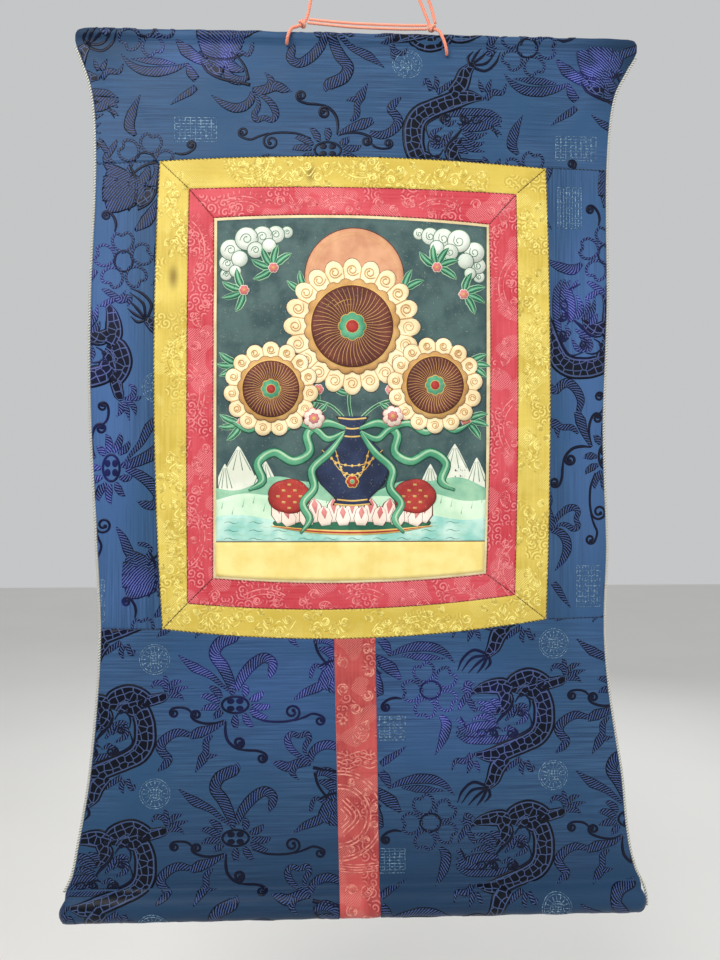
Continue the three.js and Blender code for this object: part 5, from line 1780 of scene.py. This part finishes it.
def lotus_stand(art):
    """The stand: a round base, two rows of petals and a gilt rim."""
    art.outlined("leaf", "ink", 0, 441, 70, line=0.6, flatten=0.14)
    for count, level, tall, wide in ((9, 440, 21, 9.0), (8, 443, 17, 8.6)):
        for k in range(count):
            px = (k - (count - 1) / 2) * 15.6
            spine = [(px + px * 0.09 * lean, level - tall * rise)
                     for lean, rise in ((0, 0), (0.4, 0.35), (0.8, 0.75), (1, 1))]
            art.stroke("umber", spine, [wide * 0.6 + 0.4, wide + 0.4, wide * 0.7 + 0.4, 0.8])
            art.stroke("blush", spine, [wide * 0.6, wide, wide * 0.7, 0.4])
            art.stroke("rose", spine[1:], [0.4, wide * 0.42, 0.3])
    art.stroke("gold", [(-72, 443.5), *GILT_RIM, (72, 443.5)], [0.5, 2.2, 2.6, 2.2, 0.5])
    art.stroke("crimson", [(-70, 443.8), *GILT_RIM, (70, 443.8)], [0.2, 0.9, 1.1, 0.9, 0.2])


def vase(art):
    """The vase, its gold rings and strings of beads, and the jewel on its front."""
    heights = np.linspace(346, 425, 34)
    wide = np.interp(heights, *VASE)
    for kind, extra in (("ink", 0.7), ("indigo", 0.0)):
        sides = [paired(way * (wide + extra), heights) for way in (-1, 1)]
        art.patch(kind, *sides, 22)
    for level in (347.5, 356, 363, 420, 424):
        reach = float(np.interp(level, *VASE)) - 0.4
        art.stroke("gold", [(-reach, level), (0, level + 1.2), (reach, level)], 0.9)
    for reach, drop in ((27, 14), (22, 22), (15, 28)):
        swag = [(reach * a, 376 + drop * b) for a, b in ((-1, 0), (-0.5, 0.8), (0, 1), (0.5, 0.8), (1, 0))]
        art.stroke("gold", swag, 0.45)
        for share in np.linspace(-0.9, 0.9, 9):
            art.round("gold", share * reach, 376 + drop * (1 - share * share), 1.25, points=14)
    art.outlined("crimson", "gold", 0, 404, scallops(5.2, 6, 0.2), line=0.9, points=48)
    art.outlined("jade", "gold", 0, 404, 1.8, line=0.4, points=24)


def painted_scene():
    """Land and sky, clouds and sprays, then the stand, the vase, its ribbons and its blossoms."""
    art = Painting()
    land_and_sky(art)
    for x, way in ((-104, 1), (106, -1)):
        cloud(art, x, 190, way)
    for x, s, turns in SPRAYS:
        for turn in turns:
            leaf(art, x, s, 21, turn)
        art.outlined("rose", "blush", x, s, scallops(4.2, 6, 0.2), line=0.6, points=36)
        art.round("gold", x, s, 1.3, points=16)
    for points in STEMS:
        art.stroke("mint", points, 1.7)
        art.stroke("leaf", points, 1.2)
    for x, s, turn in STEM_LEAVES:
        leaf(art, x, s, 17, turn)
    lotus_stand(art)
    vase(art)
    # two red cushions with gold chequers
    for x in (-56, 56):
        art.outlined("crimson", "umber", x, 417, scallops(19, 5, 0.06), line=0.6, flatten=0.8)
        for i in range(-3, 4):
            for j in range(-2, 3):
                if (i + j) % 2 == 0 and (i / 3.3) ** 2 + (j / 2.6) ** 2 < 0.9:
                    middle, level = x + 5.0 * i, 417 + 5.2 * j
                    art.stroke("ochre", [(middle - 1.6, level), (middle + 1.6, level + 0.3)], 1.3)
    # green ribbons from the vase's neck
    for way in (-1, 1):
        for points, size in VASE_RIBBONS:
            line, inner = [(way * a, b) for a, b in points], len(points) - 2
            halves = [1.5] + [size] * inner + [0.5]
            art.stroke("leaf", line, [half + 0.6 for half in halves])
            art.stroke("jade", line, halves)
            glint = [(a + 0.9, b - size * 0.35) for a, b in line]
            art.stroke("mint", glint, [0.3] + [size * 0.3] * inner + [0.2])
    for place in ((0, 266, 61, 20), (-72, 322, 42, 15, 0.1), (74, 318, 43, 15, -0.1)):
        blossom(art, *place)
    for x, s in ((-34, 348), (36, 346)):
        art.outlined("blush", "rose", x, s, scallops(9, 7, 0.2), line=0.6, points=56)
        art.outlined("rose", "umber", x, s, scallops(4.6, 7, 0.2), line=0.3, points=56)
        art.round("gold", x, s, 1.8, points=20)
    return art.joined()


paints = [painted(f"paint_{name}", *tones) for name, tones in PAINTS.items()]
lay_shapes("painted_scene", painted_scene(), PANELS["painting"], HERE, paints, 0.016, 0.3)


# The floor and the light
def area_light(name, place, aim, width, height, power, colour):
    data = bpy.data.lights.new(name, "AREA")
    data.shape = "RECTANGLE"
    data.size, data.size_y = width, height
    data.energy = power
    data.color = colour
    light = bpy.data.objects.new(name, data)
    light.location = place
    light.rotation_euler = (Vector(aim) - Vector(place)).to_track_quat("-Z", "Y").to_euler()
    bpy.context.scene.collection.objects.link(light)


def make_stage():
    bpy.context.scene.view_settings.view_transform = "Standard"
    finish = Finish("pale_floor", Roughness=0.8)
    finish.colour(finish.mix(finish.noise(finish.object, 3.0, 3.0), (222, 221, 218), (230, 229, 226)))
    mesh = bpy.data.meshes.new("floor")
    mesh.from_pydata([(-4, -4, -1.25), (4, -4, -1.25), (4, 4, -1.25), (-4, 4, -1.25)], [], [(0, 1, 2, 3)])
    mesh.materials.append(finish.material)
    floor = bpy.data.objects.new("floor", mesh)
    bpy.context.scene.collection.objects.link(floor)
    world = bpy.data.worlds.new("studio")
    world.use_nodes = True
    world.node_tree.nodes["Background"].inputs["Color"].default_value = (0.93, 0.94, 0.95, 1)
    world.node_tree.nodes["Background"].inputs["Strength"].default_value = 0.6
    bpy.context.scene.world = world
    middle = (0.0, 0.0, -0.55)
    area_light("window", (-0.55, -1.15, 0.45), (0.0, 0.0, -0.4), 0.9, 0.9, 21, (1.0, 0.985, 0.96))
    area_light("fill", (1.2, -1.2, -0.3), middle, 1.2, 1.4, 6, (0.95, 0.97, 1.0))
    area_light("behind", (0.4, 1.4, 0.1), middle, 1.4, 1.4, 12, (1.0, 1.0, 1.0))


make_stage()
